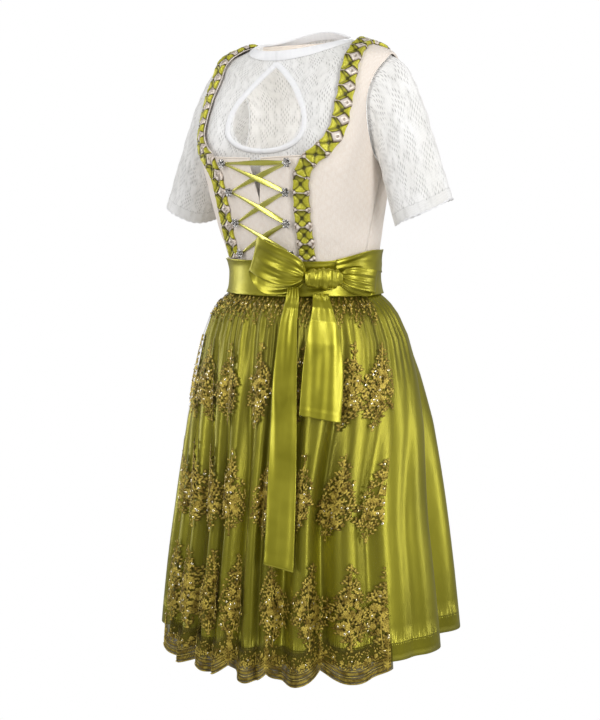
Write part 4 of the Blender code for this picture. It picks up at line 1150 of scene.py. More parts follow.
# %% A field of heights along the neckline
def trim(marks, first, kind):
    """The trim over marks. Gives its grid, how much each point is mouth, and how much painted shade it gets
    where it is deep.
    """
    p = (first + np.arange(len(marks))) / TRIM_ROWS
    v = np.linspace(-1, 1, TRIM_COLUMNS)[None]
    unit_number = np.round(p).astype(int)
    from_mouth = np.abs(p - unit_number)[:, None]
    shapes = np.array([mouths(k, kind) for k in range(unit_number.max() + 1)])[unit_number]
    middle, long, wide = (shapes[:, :, k, None] for k in range(3))
    q = (from_mouth[:, None] / long + np.abs(v - middle) / wide).min(1)
    line = np.clip(1.5 - from_mouth / 0.026, 0, 1)
    inside = np.clip(0.5 + (1 - q) / 0.16, 0, 1)
    mouth = np.maximum(inside, line)
    # The green square between two mouths, creased from its sewn middle to its corners.
    x = 2 * (p - np.floor(p) - 0.5)[:, None]
    y = np.abs(v) / 0.90
    rim = np.maximum(np.abs(x), np.clip(y, 0, 1))
    crease = np.exp(-(((np.abs(x) - y) / 0.13) ** 2)) * smooth(0.15, 0.5, rim)
    pinch = np.exp(-((rim / 0.26) ** 2))
    groove = np.exp(-(((1 - np.abs(x)) / 0.10) ** 2))
    square = 2.2 + 4.0 * rim**0.9 - 1.9 * crease - 0.8 * pinch - 1.4 * groove
    # The mouth: a beige pillow with a dimple.
    dimple = np.exp(-((q / 0.24) ** 2))
    pillow = 3.0 + 3.4 * np.clip(1 - q * q, 0, 1) - 2.4 * dimple
    rise = square * (1 - inside) + pillow * inside
    crumple = 0.45 * waver(np.stack(np.broadcast_arrays(p[:, None] * 9, v * 5, 3.0), -1), 1.0)
    slope = 1 - smooth(0.84, 1.0, np.abs(v)) ** 1.4
    rise = (rise + crumple) * slope + 0.5
    reach = TRIM_WIDTH / 2 * (0.93 + 0.06 * np.cos(2 * math.pi * p)[:, None] + 0.04 * inside)
    side = slide_rows(marks, reach * v)
    grid = on_figure(side[..., 0], side[..., 1], TRIM_CLEAR + rise * MM)
    # The depth mark is painted shade: dark in the pinch, along the creases, in a ring round each mouth, in
    # its dimple, and towards one end of each square, as under an overlapping fold.
    outline = np.exp(-(((1.06 - q) / 0.13) ** 2))
    shade = 0.55 * smooth(0.35, 0.95, x) * (1 - np.clip(y, 0, 1) * 0.5)
    deep = 0.9 * pinch + 0.42 * crease + 0.75 * outline + 0.85 * dimple * inside + shade * (1 - inside)
    return grid, mouth, np.clip(deep * (1 - 0.6 * line), 0, 1)


low_rows = [tuple(row) for row in along(PRINCESS_LINE, np.arange(25) / 4) if row[1] > SASH_TOP + 0.006]
trim_line = [(low_rows[0][0], SASH_TOP + 0.0034), *low_rows, *NECKLINE]
rough = marks_along(trim_line, 241)
units = round(run_of(figure(rough[:, 0], rough[:, 1]))[-1] / TRIM_PITCH)
trim_marks = marks_along(trim_line, units * TRIM_ROWS + 1)
shoulder = int(np.argmin(np.abs(trim_marks[:, 0] - SIDE)))


def sew_trim(side, node, grid, mouth, deep):
    piece = cloth(f"ruched_trim_{side}", grid, RUCHE, 0.4 * MM, marks={"mouth": mouth, "depth": deep})
    wear(piece, "green_taffeta", node)


for k, side in enumerate(("left", "right")):
    grid, mouth, deep = trim(trim_marks[: shoulder + 1], 0, side)
    grid = both_sides(grid)[k][1]
    sew_trim(side, f"trim_front_{side}", grid, mouth, deep)
grid, mouth, deep = trim(trim_marks[shoulder:], shoulder, "back")
grid = np.concatenate([grid, flipped(grid)[-2::-1]])
mouth, deep = (np.concatenate([m, m[-2::-1]]) for m in (mouth, deep))
sew_trim("back", "trim_back", grid, mouth, deep)
print("trim units:", units)

# %% [markdown]
# ## Hooks and lacing
#
# Each hook is a cast silver rose on a stem. At this size a few squashed balls read as petals, and a
# sculpted one would look no better, so the rose is put together from primitives once, joined, and
# set eight times. One ribbon laces them: it is narrow where it goes round a stem, and lies wide and
# turns over in the middle of each run, which a bevelled curve can't do and a thin cloth can.

# %% The silver rose
HOOK_HEIGHTS = (-0.202, -0.248, -0.2985, -0.349)
HOOK_ANGLES = (25.2, 23.4, 22.8, 25.0)
HOOK_RADIUS, HOOK_STEM, HOOK_CLEAR = 0.0084, 0.0030, 0.6 * MM


def ball(radius, place, scale=(1, 1, 1), turn=0.0, lean=0.0):
    """A squashed ball, leant outwards and turned, for a petal."""
    bpy.ops.mesh.primitive_uv_sphere_add(segments=14, ring_count=9, radius=radius)
    petal = bpy.context.active_object
    petal.scale = scale
    petal.rotation_euler = (0, lean, turn)
    petal.location = place
    return petal


def cylinder(radius, low, high):
    bpy.ops.mesh.primitive_cylinder_add(
        vertices=24, radius=radius, depth=high - low, location=(0, 0, (low + high) / 2)
    )
    return bpy.context.active_object


def silver_rose():
    """A stem, a cup, six outer petals, five inner ones and a seed in the middle."""
    parts = [cylinder(HOOK_STEM * 0.9, 0.0, 5.6 * MM), cylinder(HOOK_RADIUS * 0.62, 5.0 * MM, 6.4 * MM)]
    for count, reach, radius, rise, lean in ((6, 0.62, 3.1, 6.9, 0.30), (5, 0.30, 2.2, 8.3, 0.55)):
        for k in range(count):
            turn = 2 * math.pi * k / count
            place = (HOOK_RADIUS * reach * math.cos(turn), HOOK_RADIUS * reach * math.sin(turn), rise * MM)
            parts.append(ball(radius * MM, place, (1.0, 0.92, 0.42), turn, -lean))
    parts.append(ball(1.5 * MM, (0, 0, 9.2 * MM), (1, 1, 0.8)))
    bpy.ops.object.select_all(action="DESELECT")
    for part in parts:
        part.select_set(True)
    bpy.context.view_layer.objects.active = parts[0]
    bpy.ops.object.transform_apply(location=True, rotation=True, scale=True)
    bpy.ops.object.join()
    rose = bpy.context.active_object
    bpy.ops.object.shade_smooth()
    rose.data.materials.clear()
    rose.data.materials.append(SILVER)
    return rose


def set_rose(rose, name, angle, height, side):
    """A copy of the rose that stands on the bodice, its place in its own mesh."""
    level = level_at(angle, height)
    mirror = np.array([side, 1, 1])
    out = Vector(normal(angle, level) * mirror)
    turn = out.to_track_quat("Z", "Y").to_matrix().to_4x4()
    turn.translation = Vector(figure(angle, level) * mirror) + turn.to_3x3() @ Vector((0, 0, HOOK_CLEAR))
    copy = rose.copy()
    copy.data = rose.data.copy()
    copy.name = copy.data.name = name
    bpy.context.scene.collection.objects.link(copy)
    copy.data.transform(turn)
    return copy


first_rose = silver_rose()
for side, word in ((1, "left"), (-1, "right")):
    for k, (high, angle) in enumerate(zip(HOOK_HEIGHTS, HOOK_ANGLES), 1):
        rose = set_rose(first_rose, f"rose_{word}_{k}", math.radians(angle), high, side)
        wear(rose, "silver", f"hook_{word}_{k}")
print("triangles in a rose:", sum(len(p.vertices) - 2 for p in first_rose.data.polygons))
bpy.data.objects.remove(first_rose)

# %% The ribbon between the hooks
LACE_WIDTH = 0.0088


def lace(name, node, start, end, rise_start, rise_end, widest, twist, roll):
    """A run of ribbon from stem to stem. widest is where along it lies flat and wide."""
    count = 40
    (a0, z0), (a1, z1) = start, end
    length = math.hypot((a1 - a0) * 0.145, z1 - z0)
    trim_off = (HOOK_STEM + HOOK_CLEAR) / length
    t = np.linspace(trim_off, 1 - trim_off, count)
    angle, height = a0 + (a1 - a0) * t, z0 + (z1 - z0) * t
    level = level_at(np.abs(angle), height)
    mirror = np.stack([np.where(angle < 0, -1.0, 1.0), np.ones(count), np.ones(count)], -1)
    place, out = figure(np.abs(angle), level) * mirror, normal(np.abs(angle), level) * mirror
    side = unit(np.cross(out, unit(np.gradient(place, axis=0))))
    wide = LACE_WIDTH / 2 * (0.42 + 0.60 * np.exp(-(((t - widest) / 0.33) ** 2)))
    turned = roll + twist * (t - widest)
    lift = (rise_start + (rise_end - rise_start) * t) * MM + 0.4 * MM
    v = np.linspace(-1, 1, 9)[None]
    spread = np.cos(turned)[:, None] * v * wide[:, None]
    stand = np.sin(turned)[:, None] * v * wide[:, None] + 0.5 * MM * (1 - v**2) + lift[:, None]
    stand = np.maximum(stand, 0.9 * MM)
    grid = place[:, None] + side[:, None] * spread[..., None] + out[:, None] * stand[..., None]
    piece = cloth(name, grid, LACE_SATIN, wall=0.35 * MM)
    wear(piece, "green_satin", node)


left_posts = [(math.radians(a), z) for a, z in zip(HOOK_ANGLES, HOOK_HEIGHTS)]
right_posts = [(-a, z) for a, z in left_posts]
lace("ribbon_top", "lace_top", right_posts[0], left_posts[0], 1.7, 3.6, 0.60, 0.3, -0.06)
for k in range(3):
    over, under = f"over_{k + 1}", f"under_{k + 1}"
    lace(f"ribbon_{over}", f"lace_{over}", right_posts[k], left_posts[k + 1],
         3.6, 3.6, 0.66, -0.4 + 0.1 * k, -0.36)
    lace(f"ribbon_{under}", f"lace_{under}", left_posts[k], right_posts[k + 1],
         1.9, 1.9, 0.45, 0.9 - 0.3 * k, 0.0)
print("hooks:", 2 * len(left_posts), "ribbon up to", round(LACE_WIDTH * 1.02, 4), "wide")

# %% [markdown]
# ## Skirt
#
# The skirt's folds start at the waist as tight gathers and open towards the hem. A simulated skirt
# falls well but puts its folds where it likes, and these are the dress's shape, so they are listed:
# where each begins and how deep it hangs. A table of hoops gives the skirt's width at each height.
# Satin adds small uneven gathers below the waist seam and soft swings above the hem.

# %% Hoops and folds
SKIRT = np.array([  # height, half width, depth in front and behind, and how far it hangs to the left
    (-0.3926, 0.1295, 0.1105, 0.1075, 0.000),
    (-0.418, 0.1325, 0.1145, 0.1115, 0.000),
    (-0.434, 0.150, 0.130, 0.128, 0.000),
    (-0.455, 0.166, 0.142, 0.143, 0.000),
    (-0.490, 0.182, 0.152, 0.160, 0.001),
    (-0.554, 0.200, 0.163, 0.183, 0.002),
    (-0.635, 0.218, 0.176, 0.202, 0.004),
    (-0.757, 0.238, 0.191, 0.219, 0.004),
    (-0.880, 0.255, 0.204, 0.233, 0.003),
    (-1.020, 0.268, 0.214, 0.244, 0.003),
])
FOLDS = np.array([  # degrees at which a fold begins, and its depth at the hem
    (-174, 0.022), (-153, 0.027), (-132, 0.020), (-117, 0.030), (-93, 0.023), (-75, 0.026), (-57, 0.015),
    (-42, 0.026), (-24, 0.018), (-9, 0.024), (12, 0.014), (24, 0.022), (45, 0.028), (69, 0.012),
    (87, 0.006), (102, 0.038), (132, 0.024), (150, 0.028), (168, 0.016),
])
GATHER_DEPTH, SKIRT_SQUEEZE = 1.6 * MM, 18.0
SKIRT_HEM_FRONT, SKIRT_HEM_BACK, APRON_HEM = -0.992, -0.972, -0.997


def hoop_at(height):
    return along(SKIRT, np.interp(-np.asarray(height), -SKIRT[:, 0], np.arange(len(SKIRT))))[..., 1:]


def outline_at(angle, height, out=0.0):
    """Points on the hoops, without folds."""
    wide, front, back, shift = np.moveaxis(hoop_at(height), -1, 0)
    s, c = np.sin(angle), np.cos(angle)
    reach = ((s / wide) ** 2 + (c / np.where(c > 0, front, back)) ** 2) ** -0.5 + out
    return np.stack(np.broadcast_arrays(reach * s + shift, -reach * c, height), -1)


def fold_wave(turn):
    """How far through its fold each place is, and how deep that fold is."""
    degrees = np.degrees(turn)
    degrees = np.where(degrees < FOLDS[0, 0], degrees + 360, degrees)
    k = np.searchsorted(FOLDS[:, 0], degrees, side="right") - 1
    after = np.append(FOLDS[1:, 0], FOLDS[0, 0] + 360)[k]
    return (degrees - FOLDS[k, 0]) / (after - FOLDS[k, 0]), FOLDS[k, 1]


def skirt_at(turn, height, out=0.0):
    """Points of the satin, which gathers round the waist and folds below."""
    turn, height = np.broadcast_arrays(np.asarray(turn, float), np.asarray(height, float))
    drop = smooth(0.418, 0.80, -height)
    angle = turn - math.radians(SKIRT_SQUEEZE) * np.sin(turn) * smooth(0.43, 0.80, -height)
    share, depth = fold_wave(turn)
    wave = (np.cos(2 * math.pi * share) - 1 + 0.2 * (1 - np.cos(4 * math.pi * share))) / 2
    gather = GATHER_DEPTH * (np.cos(6 * math.pi * share) - 1) * (1 - smooth(0.44, 0.60, -height))
    return outline_at(angle, height, depth * wave * drop + gather + fine_folds(turn, height) + out)


def fine_folds(turn, height):
    """Small uneven gathers that fade down the skirt, and soft swings above the hem."""
    around = np.stack([np.cos(turn), np.sin(turn)], -1)
    fine = np.concatenate([around * 11, height[..., None] * 2.2], -1)
    broad = np.concatenate([around * 4.2, height[..., None] * 1.3 + 7], -1)
    top = 1 - smooth(0.46, 0.66, -height)
    lower = smooth(0.50, 0.70, -height)
    return 1.5 * MM * waver(fine, 1.0) * (0.10 + 0.90 * top) + 3.0 * MM * waver(broad, 1.0) * lower


def skirt_hem(turn):
    return SKIRT_HEM_BACK + (SKIRT_HEM_FRONT - SKIRT_HEM_BACK) * ((1 + np.cos(turn)) / 2) ** 2.5


print("folds:", len(FOLDS))

# %% Skirt
SATIN_WALL = 0.6 * MM
SKIRT_COLUMNS, SKIRT_ROWS = 432, 56
turn = np.linspace(-math.pi, math.pi, SKIRT_COLUMNS, endpoint=False)
share = (np.linspace(0, 1, SKIRT_ROWS) ** 1.25)[:, None]
skirt_grid = skirt_at(turn[None], SKIRT[0, 0] + (skirt_hem(turn[None]) - SKIRT[0, 0]) * share)
skirt_piece = cloth("skirt_satin", skirt_grid, SKIRT_SATIN, SATIN_WALL, closed=True, width=2.3, foot=0.0)
wear(skirt_piece, "green_satin", "skirt")
print("skirt hem:", np.round(skirt_grid[-1, :, :2].max(0), 3).tolist())

# %% [markdown]
# ## Apron
#
# The apron is tulle, which is net that the satin shines through. It lies on the skirt's folds with
# small gathers of its own. Laid over the skirt by a modifier it would cut into the ridges, so it is
# worked out from the skirt, a little further out, and its gathers only stand outwards. Where one
# turns away the net is denser, and the cloth carries that as a number for its material.

# %% Tulle
APRON_CLEAR, APRON_LIFT = 1.9 * MM, 4.4 * MM
APRON_FIRST, APRON_LAST = math.radians(-60.0), math.radians(84.0)
SCALLOPS, SCALLOP_DEPTH = 5, 0.019
APRON_TOP = -0.4045
BORDER_FROM, BORDER_TO = 0.040, 0.058


def apron_hem(share):
    wave = np.abs(np.sin(math.pi * SCALLOPS * share)) ** 0.8
    return APRON_HEM + 0.012 * smooth(0.55, 1.0, share) - SCALLOP_DEPTH * wave


def tulle_gathers(turn, height):
    """How far the gathers stand out, and how steeply they turn away."""
    place = np.stack([np.cos(turn) * 9, np.sin(turn) * 9, height * 3.0 + 3], -1)
    sway = waver(place, 1.0)
    strong = 1 - smooth(0.43, 0.72, -height)
    phase = turn * 40 + 3.6 * sway
    broad = turn * 23 + 2.6 * waver(place * 0.6 + 5, 1.0)
    out = 1.1 * MM * strong * (1 + np.cos(phase)) / 2 + 1.0 * MM * (1 + np.cos(broad)) / 2
    folded = 0.60 * strong * np.abs(np.sin(phase)) ** 4 + 0.20 * np.abs(np.sin(broad)) ** 4
    return out, folded


def apron_at(share, height, lift=0.0):
    """Points of the apron, at a share across it and a height, lifted off it for embroidery."""
    share, height = np.broadcast_arrays(np.asarray(share, float), np.asarray(height, float))
    turn = APRON_FIRST + (APRON_LAST - APRON_FIRST) * share
    gather, _ = tulle_gathers(turn, height)
    out = APRON_CLEAR + APRON_LIFT * smooth(0.425, 0.70, -height) + gather
    point = skirt_at(turn, height, out)
    if np.ndim(lift) == 0 and lift == 0:
        return point
    step = 0.0012
    across = skirt_at(turn + step, height, out) - skirt_at(turn - step, height, out)
    up = skirt_at(turn, height + 1 * MM, out) - skirt_at(turn, height - 1 * MM, out)
    return point + unit(np.cross(across, up)) * np.asarray(lift)[..., None]


APRON_COLUMNS, APRON_ROWS = 300, 96
share = np.linspace(0, 1, APRON_COLUMNS)[None]
down = (np.linspace(0, 1, APRON_ROWS) ** 1.1)[:, None]
high = APRON_TOP + (apron_hem(share) - APRON_TOP) * down
apron_grid = apron_at(share, high)
_, folded = tulle_gathers(APRON_FIRST + (APRON_LAST - APRON_FIRST) * share + 0 * high, high)
folded = folded + 1.8 * (1 - smooth(BORDER_FROM, BORDER_TO, high - apron_hem(share)))
apron_piece = cloth("apron_tulle", apron_grid, TULLE, 0, marks={"folded": folded}, width=0.72, foot=0.0)
wear(apron_piece, "bronze_tulle", "apron")
print("apron, down to", round(float(apron_grid[..., 2].min()), 4))

# %% [markdown]
# ## Embroidery
#
# The embroidery is raised gold thread, and it glitters because each stitch faces its own way. Bump
# on the tulle would be flat from the side, so every leaf, petal and stem is a small lens with a
# ridge, of six faces or so. They are drawn on the flat, in metres, as an embroiderer draws them, and
# laid on the apron through the same surface as the tulle. Three rows of sprays hang one above the
# other, a border follows the scallops, and a dense band lies under the sash.

# %% The apron's width at each height
SPREAD_HEIGHTS = np.linspace(-1.01, -0.41, 25)


def metres_across(height):
    """How many metres of cloth the whole width of the apron takes at a height."""
    line = apron_at(np.linspace(0, 1, 260), np.full(260, height))
    return run_of(line)[-1]


WIDTHS = np.array([metres_across(h) for h in SPREAD_HEIGHTS])


def spread_at(height):
    return np.interp(height, SPREAD_HEIGHTS, WIDTHS)


def across_to_x(share, height):
    """How far from the apron's middle a share across it is, on the flat."""
    return (share - 0.5) * spread_at(height)


def hem_place(share, above):
    """A place on the flat, above the scalloped hem."""
    low = float(apron_hem(np.array(share))) + above
    return float(across_to_x(share, low)), low


print("apron across, at the hem and at the top:", WIDTHS[[0, -1]].round(3).tolist())


# %% Drawing in thread
EDGE_RISE = 0.15  # in millimetres, as every rise here


class Threads:
    """A heap of small raised shapes: each is a list of flat points with a rise, and its faces."""

    def __init__(self):
        self.flat, self.faces, self.count = [], [], 0

    def add(self, points, faces):
        self.flat.append(points)
        self.faces += [tuple(self.count + k for k in face) for face in faces]
        self.count += len(points)

    def lens(self, x, y, long, wide, turn, rise=0.9):
        """A leaf or petal that starts at x, y and points along turn."""
        c, s = math.cos(turn), math.sin(turn)
        outline = [(0, 0), (0.30, -0.5), (0.70, -0.42), (1, 0), (0.70, 0.42), (0.30, 0.5), (0.5, 0)]
        points = []
        for (a, b), up in zip(outline, [EDGE_RISE] * 6 + [rise]):
            p, q = a * long, b * wide
            points.append((x + p * c - q * s, y + p * s + q * c, up))
        self.add(points, [(k, (k + 1) % 6, 6) for k in range(6)])

    def flower(self, x, y, size, turn):
        """Five petals round a knot."""
        for k in range(5):
            self.lens(x, y, size, size * 0.80, turn + 2 * math.pi * k / 5, 1.1)
        self.disc(x, y, size * 0.24, 1.5)

    def disc(self, x, y, size, rise):
        """A low six-sided cone, for a sequin or a knot of thread."""
        turns = [k * math.tau / 6 for k in range(6)]
        ring = [(x + size * math.cos(turn), y + size * math.sin(turn), rise * 0.6) for turn in turns]
        self.add([*ring, (x, y, rise)], [(k, (k + 1) % 6, 6) for k in range(6)])

    def cord(self, path, wide, rise=0.9):
        """A stitched line along flat points."""
        path = np.asarray(path, float)
        ahead = np.gradient(path, axis=0)
        ahead /= np.maximum(np.linalg.norm(ahead, axis=-1, keepdims=True), 1e-9)
        side = np.stack([-ahead[:, 1], ahead[:, 0]], -1) * wide / 2
        points, faces = [], []
        for k in range(len(path)):
            low, high = path[k] - side[k], path[k] + side[k]
            points += [(*low, EDGE_RISE), (*path[k], rise), (*high, EDGE_RISE)]
        for k in range(len(path) - 1):
            a = 3 * k
            faces += [(a, a + 1, a + 4, a + 3), (a + 1, a + 2, a + 5, a + 4)]
        self.add(points, faces)

    def on_apron(self, name, material):
        """Lays the whole heap on the tulle, and marks its ridges."""
        flat = np.array([p for group in self.flat for p in group])
        share = np.clip(0.5 + flat[:, 0] / spread_at(flat[:, 1]), 0.004, 0.996)
        high = np.clip(flat[:, 1], apron_hem(share) + 0.3 * MM, APRON_TOP)
        points = apron_at(share, high, 0.5 * MM + flat[:, 2] * MM)
        # How high each point stands on its stitch; the thread's material paints shade at the low edges from
        # it.
        ridge = np.clip((flat[:, 2] - EDGE_RISE) / 0.9, 0, 1)
        return new_piece(name, points, self.faces, material, {"ridge": ridge})


threads, beads = Threads(), Threads()
print("raised at the edges by", EDGE_RISE, "mm")


# %% Sprays
def kite(up):
    """Half the width of a spray, as a share, at a share of its height: widest a third of the way up."""
    return np.interp(up, [0.0, 0.10, 0.22, 0.42, 0.60, 0.78, 1.0], [0.06, 0.34, 0.86, 1.0, 0.62, 0.30, 0.05])


def chance(*numbers):
    """A number from 0 to 1 that looks thrown, and is the same in every run."""
    total = sum(n * w for n, w in zip(numbers, (12.9898, 78.233, 37.719, 9.151)))
    return (math.sin(total) * 43758.5453) % 1.0


SPRAY_STEP, SEQUIN_SIZE = 5.8 * MM, 1.7 * MM


def spray(threads, beads, share, top, tall, wide, seed):
    """One spray that hangs from its tip at top: a stem, and flowers and leaves packed round it."""
    foot = top - tall
    centre = across_to_x(share, top - tall * 0.6)
    lean = (chance(seed, 1) - 0.5) * 0.20 * wide

    def stem(up):
        return centre + lean * up * up + 0.05 * wide * math.sin(up * 6 + seed), foot + tall * up

    threads.cord([stem(k / 16) for k in range(17)], 1.8 * MM)
    rows, columns = int(tall / (SPRAY_STEP * 0.87)), int(wide / SPRAY_STEP) + 2
    for i in range(rows):
        up = (i + 0.5) / rows
        x0, y0 = stem(up)
        half = wide / 2 * float(kite(up))
        for j in range(-columns // 2, columns // 2 + 1):
            jitter = chance(seed, i, j), chance(seed, j, i, 3), chance(seed, i, j, 7)
            away = (j + (i % 2) * 0.5 + 0.45 * (jitter[0] - 0.5)) * SPRAY_STEP
            if abs(away) > half * (0.72 + 0.5 * jitter[1]) or jitter[2] > 0.93:
                continue
            x, y = x0 + away, y0 + 0.8 * (jitter[1] - 0.5) * SPRAY_STEP + abs(away) * 0.16
            out = math.atan2(0.9 + 0.8 * up, away / max(half, 1e-4) * 1.6)
            inner = abs(away) < 0.62 * half and 0.18 < up < 0.70
            if inner and jitter[2] < 0.30:
                threads.flower(x, y, (4.9 + 1.8 * jitter[0]) * MM, 6 * jitter[1])
                if jitter[0] > 0.74:
                    beads.disc(x, y, SEQUIN_SIZE, 2.5)
            else:
                size = (6.0 + 2.6 * jitter[1]) * MM
                for turn in (out + 0.7, out - 0.7)[: 1 + (jitter[0] < 0.75)]:
                    threads.lens(x, y, size, size * 0.50, turn, 0.7 + 0.5 * jitter[2])
                if jitter[1] > 0.96:
                    beads.disc(x, y, SEQUIN_SIZE, 2.4)
    for k in range(8):
        x, y = stem(0.70 + 0.04 * k)
        size = (5.8 - 0.4 * k) * MM
        threads.lens(x, y, size, size * 0.5, 0.95)
        threads.lens(x, y, size, size * 0.5, math.pi - 0.95)
    threads.lens(*stem(1.0), 5 * MM, 2.4 * MM, math.pi / 2)
    for turn in (-1.2, -1.57, -1.95):
        threads.lens(*stem(0.03), 6 * MM, 3.0 * MM, turn)


SPRAY_ROWS = [  # height of the tips, length, width, and the shares across the apron
    (-0.494, 0.130, 0.050, (0.03, 0.16, 0.31, 0.48, 0.66, 0.84, 0.945)),
    (-0.662, 0.132, 0.056, (0.02, 0.13, 0.25, 0.37, 0.56, 0.70, 0.84, 0.965)),
    (-0.828, 0.128, 0.062, (0.03, 0.15, 0.285, 0.41, 0.62, 0.76, 0.89, 0.985)),
]
for row, (top, tall, wide, shares) in enumerate(SPRAY_ROWS):
    for k, share in enumerate(shares):
        spray(threads, beads, share, top, tall, wide, 1 + row * 10 + k)
print("sprays:", sum(len(row[3]) for row in SPRAY_ROWS), "stitched shapes:", len(threads.flat))

# %% The border along the scallops
EDGE_CORDS = ((1.2, 2.4, 1.5), (11.5, 1.5, 1.0), (21.0, 1.5, 1.0))  # above the hem, width, rise
STITCH_ROWS = ((2.4, 8.6, 330), (12.4, 8.0, 320))  # above the hem, length, how many
VINE_LEAVES, LOOSE_LEAVES = 150, 620

for above, wide, rise in EDGE_CORDS:
    line = [hem_place(share, above * MM) for share in np.linspace(0.004, 0.996, 700)]
    threads.cord(line, wide * MM, rise)
for above, tall, count in STITCH_ROWS:
    for k in range(count):
        share = (k + 0.5) / count
        fan = 0.9 * ((share * SCALLOPS) % 1.0 - 0.5)
        threads.lens(*hem_place(share, above * MM), tall * MM, 1.9 * MM, math.pi / 2 + fan, 0.8)
for k in range(VINE_LEAVES):
    sway = math.sin(k * 1.9)
    x, low = hem_place((k + 0.5) / VINE_LEAVES, (27 + 3 * sway) * MM)
    threads.lens(x, low, 6.5 * MM, 3.1 * MM, math.pi / 2 + sway)
    threads.lens(x, low, 5.5 * MM, 2.8 * MM, -math.pi / 2 + sway * 1.3)
    if k % 3 == 0:
        threads.flower(x, low + 5 * MM, 3.9 * MM, sway)
    if k % 7 == 0:
        beads.disc(x, low + 6 * MM, 1.2 * MM, 2.4)
for k in range(LOOSE_LEAVES):
    x, low = hem_place(chance(k, 1), (23 + 24 * chance(k, 2) ** 1.4) * MM)
    threads.lens(x, low, (4.6 + 2.4 * chance(k, 3)) * MM, 2.7 * MM, 6.28 * chance(k, 4))
for cusp in range(SCALLOPS + 1):
    x, low = hem_place(min(max(cusp / SCALLOPS, 0.012), 0.988), 0.0)
    threads.cord([(x, low + k * 3.4 * MM) for k in range(15)], 2.2 * MM, 1.1)
    for k in range(9):
        size = (8.4 - 0.4 * k) * MM
        y = low + (6 + 5 * k) * MM
        threads.lens(x, y, size, size * 0.45, 0.85, 1.0)
        threads.lens(x, y, size, size * 0.45, math.pi - 0.85, 1.0)
    threads.flower(x, low + 52 * MM, 6.4 * MM, 0.3)
    beads.disc(x, low + 52 * MM, 1.4 * MM, 2.5)
print("with the border:", len(threads.flat))

# %% The dense band under the sash, with teeth that point down
BAND_TOP, BAND_STEP, BAND_COLUMNS = -0.424, 0.0062, 118

for k in range(BAND_COLUMNS):
    share = (k + 0.5) / BAND_COLUMNS
    tooth = abs(math.sin(k * math.pi / 9.0)) ** 1.5
    for j in range(3 + round(4 * tooth)):
        y = BAND_TOP - BAND_STEP * j
        x = float(across_to_x(share, y)) + (j % 2) * 1.5 * MM
        threads.lens(x, y, 6.0 * MM, 3.0 * MM, k * 1.7 + j * 2.1, 1.0)
    if k % 5 == 0:
        threads.flower(x, BAND_TOP - 8 * MM, 4.4 * MM, k)
        beads.disc(x, BAND_TOP - 8 * MM, 1.2 * MM, 2.4)

embroidery = threads.on_apron("apron_embroidery", GOLD_THREAD)
wear(embroidery, "bronze_tulle")
sequins = beads.on_apron("apron_sequins", SEQUIN)
wear(sequins, "silver")
print("embroidery triangles:", sum(len(f) - 2 for f in threads.faces), "sequins:", len(beads.faces) // 6)

# %% [markdown]
# ## Sash
#
# The sash is one satin ribbon that goes round the waist in two turns, and its creases run along it
# and draw together at the knot. Bump would show the creases but leave the sash's edge straight, so
# they are in the grid. On the wearer's left the outer turn climbs over the hip towards the back.

# %% Two turns round the waist
SASH_EASE, SASH_FLARE, SASH_RISE = 3.4 * MM, 3.6 * MM, 0.016
BOW_ANGLE, BOW_HEIGHT, BOW_ROUND = math.radians(47), -0.388, 0.125


def sash_at(angle, height, out=0.0):
    """Points round the waist, which ease out towards the sash's lower edge."""
    share = (SASH_TOP - height) / (SASH_TOP - SASH_BOTTOM)
    ease = SASH_EASE + SASH_FLARE * np.maximum(share, 0.0) ** 1.5
    point = figure(angle, level_at(angle, height))
    flat = point * np.array([1.0, 1.0, 0.0])
    return point + unit(flat) * (ease + out)[..., None]


def sash_edge(angle):
    """The height of the sash's upper edge, which climbs over the left hip."""
    degrees = np.degrees(angle)
    return SASH_TOP + SASH_RISE * smooth(48, 88, degrees) * (1 - smooth(100, 165, degrees))


def creases(angle, share, seed, strength=1.0):
    """Long creases that run with the sash and draw together at the knot."""
    turn = (angle - BOW_ANGLE + math.pi) % (2 * math.pi) - math.pi
    near = np.exp(-((turn / 0.55) ** 2))
    down = (share - 0.5) * (1 + 0.9 * near) * 2.3 + seed
    spot = np.stack(np.broadcast_arrays(np.cos(turn) * 1.3, np.sin(turn) * 1.3, down), -1)
    broad = waver(spot, 1.0)
    fine = waver(spot * np.array([2.2, 2.2, 2.6]), 1.0, 3.0)
    return (3.4 * broad + 0.6 * fine) * (0.55 + 0.8 * near) * strength * MM


def band(name, angle, top, bottom, out, rows, seed, closed, strength=1.0):
    """A length of the sash between two edges, each given as a height for every angle."""
    share = np.linspace(0, 1, rows)[:, None]
    height = top[None] + (bottom - top)[None] * share
    fold = creases(angle[None], share, seed, strength)
    tuck = 0.9 * MM * (np.exp(-((share / 0.05) ** 2)) + np.exp(-(((1 - share) / 0.05) ** 2)))
    stand = out + np.maximum(fold, -1.6 * MM) + tuck
    grid = sash_at(np.broadcast_to(angle[None], height.shape), height, stand)
    return cloth(name, grid, SASH_SATIN, SATIN_WALL, closed=closed)


turn = np.linspace(0, 2 * math.pi, 240, endpoint=False)
lower = np.full(len(turn), SASH_BOTTOM)
sash = band("waist_sash_satin", turn, sash_edge(turn), lower, 1.4 * MM, 26, 1.0, True)
wear(sash, "green_satin", "waist_sash")
turn = np.radians(np.linspace(57, 178, 120))
climb = smooth(57, 105, np.degrees(turn))
top, foot = sash_edge(turn) + 0.8 * MM, sash_edge(turn) - 0.020 - 0.016 * climb
upper = band("waist_sash_upper_turn", turn, top, foot, 3.2 * MM, 16, 8.0, False, 0.8)
wear(upper, "green_satin")
print("the sash is", round(SASH_TOP - SASH_BOTTOM, 3), "tall, and climbs by", SASH_RISE)

# %% [markdown]
# ## Bow
#
# A bow could be tied by simulation, and would come out different each time. Here each loop is a
# sheet that runs out from the knot, round its end and back lower behind, with creases that spread
# from the knot like rays. The knot is a roll of gathered cloth with a groove in it. A tail is
# pleated where it leaves the knot and flat below, and turned a little towards the wearer's left.

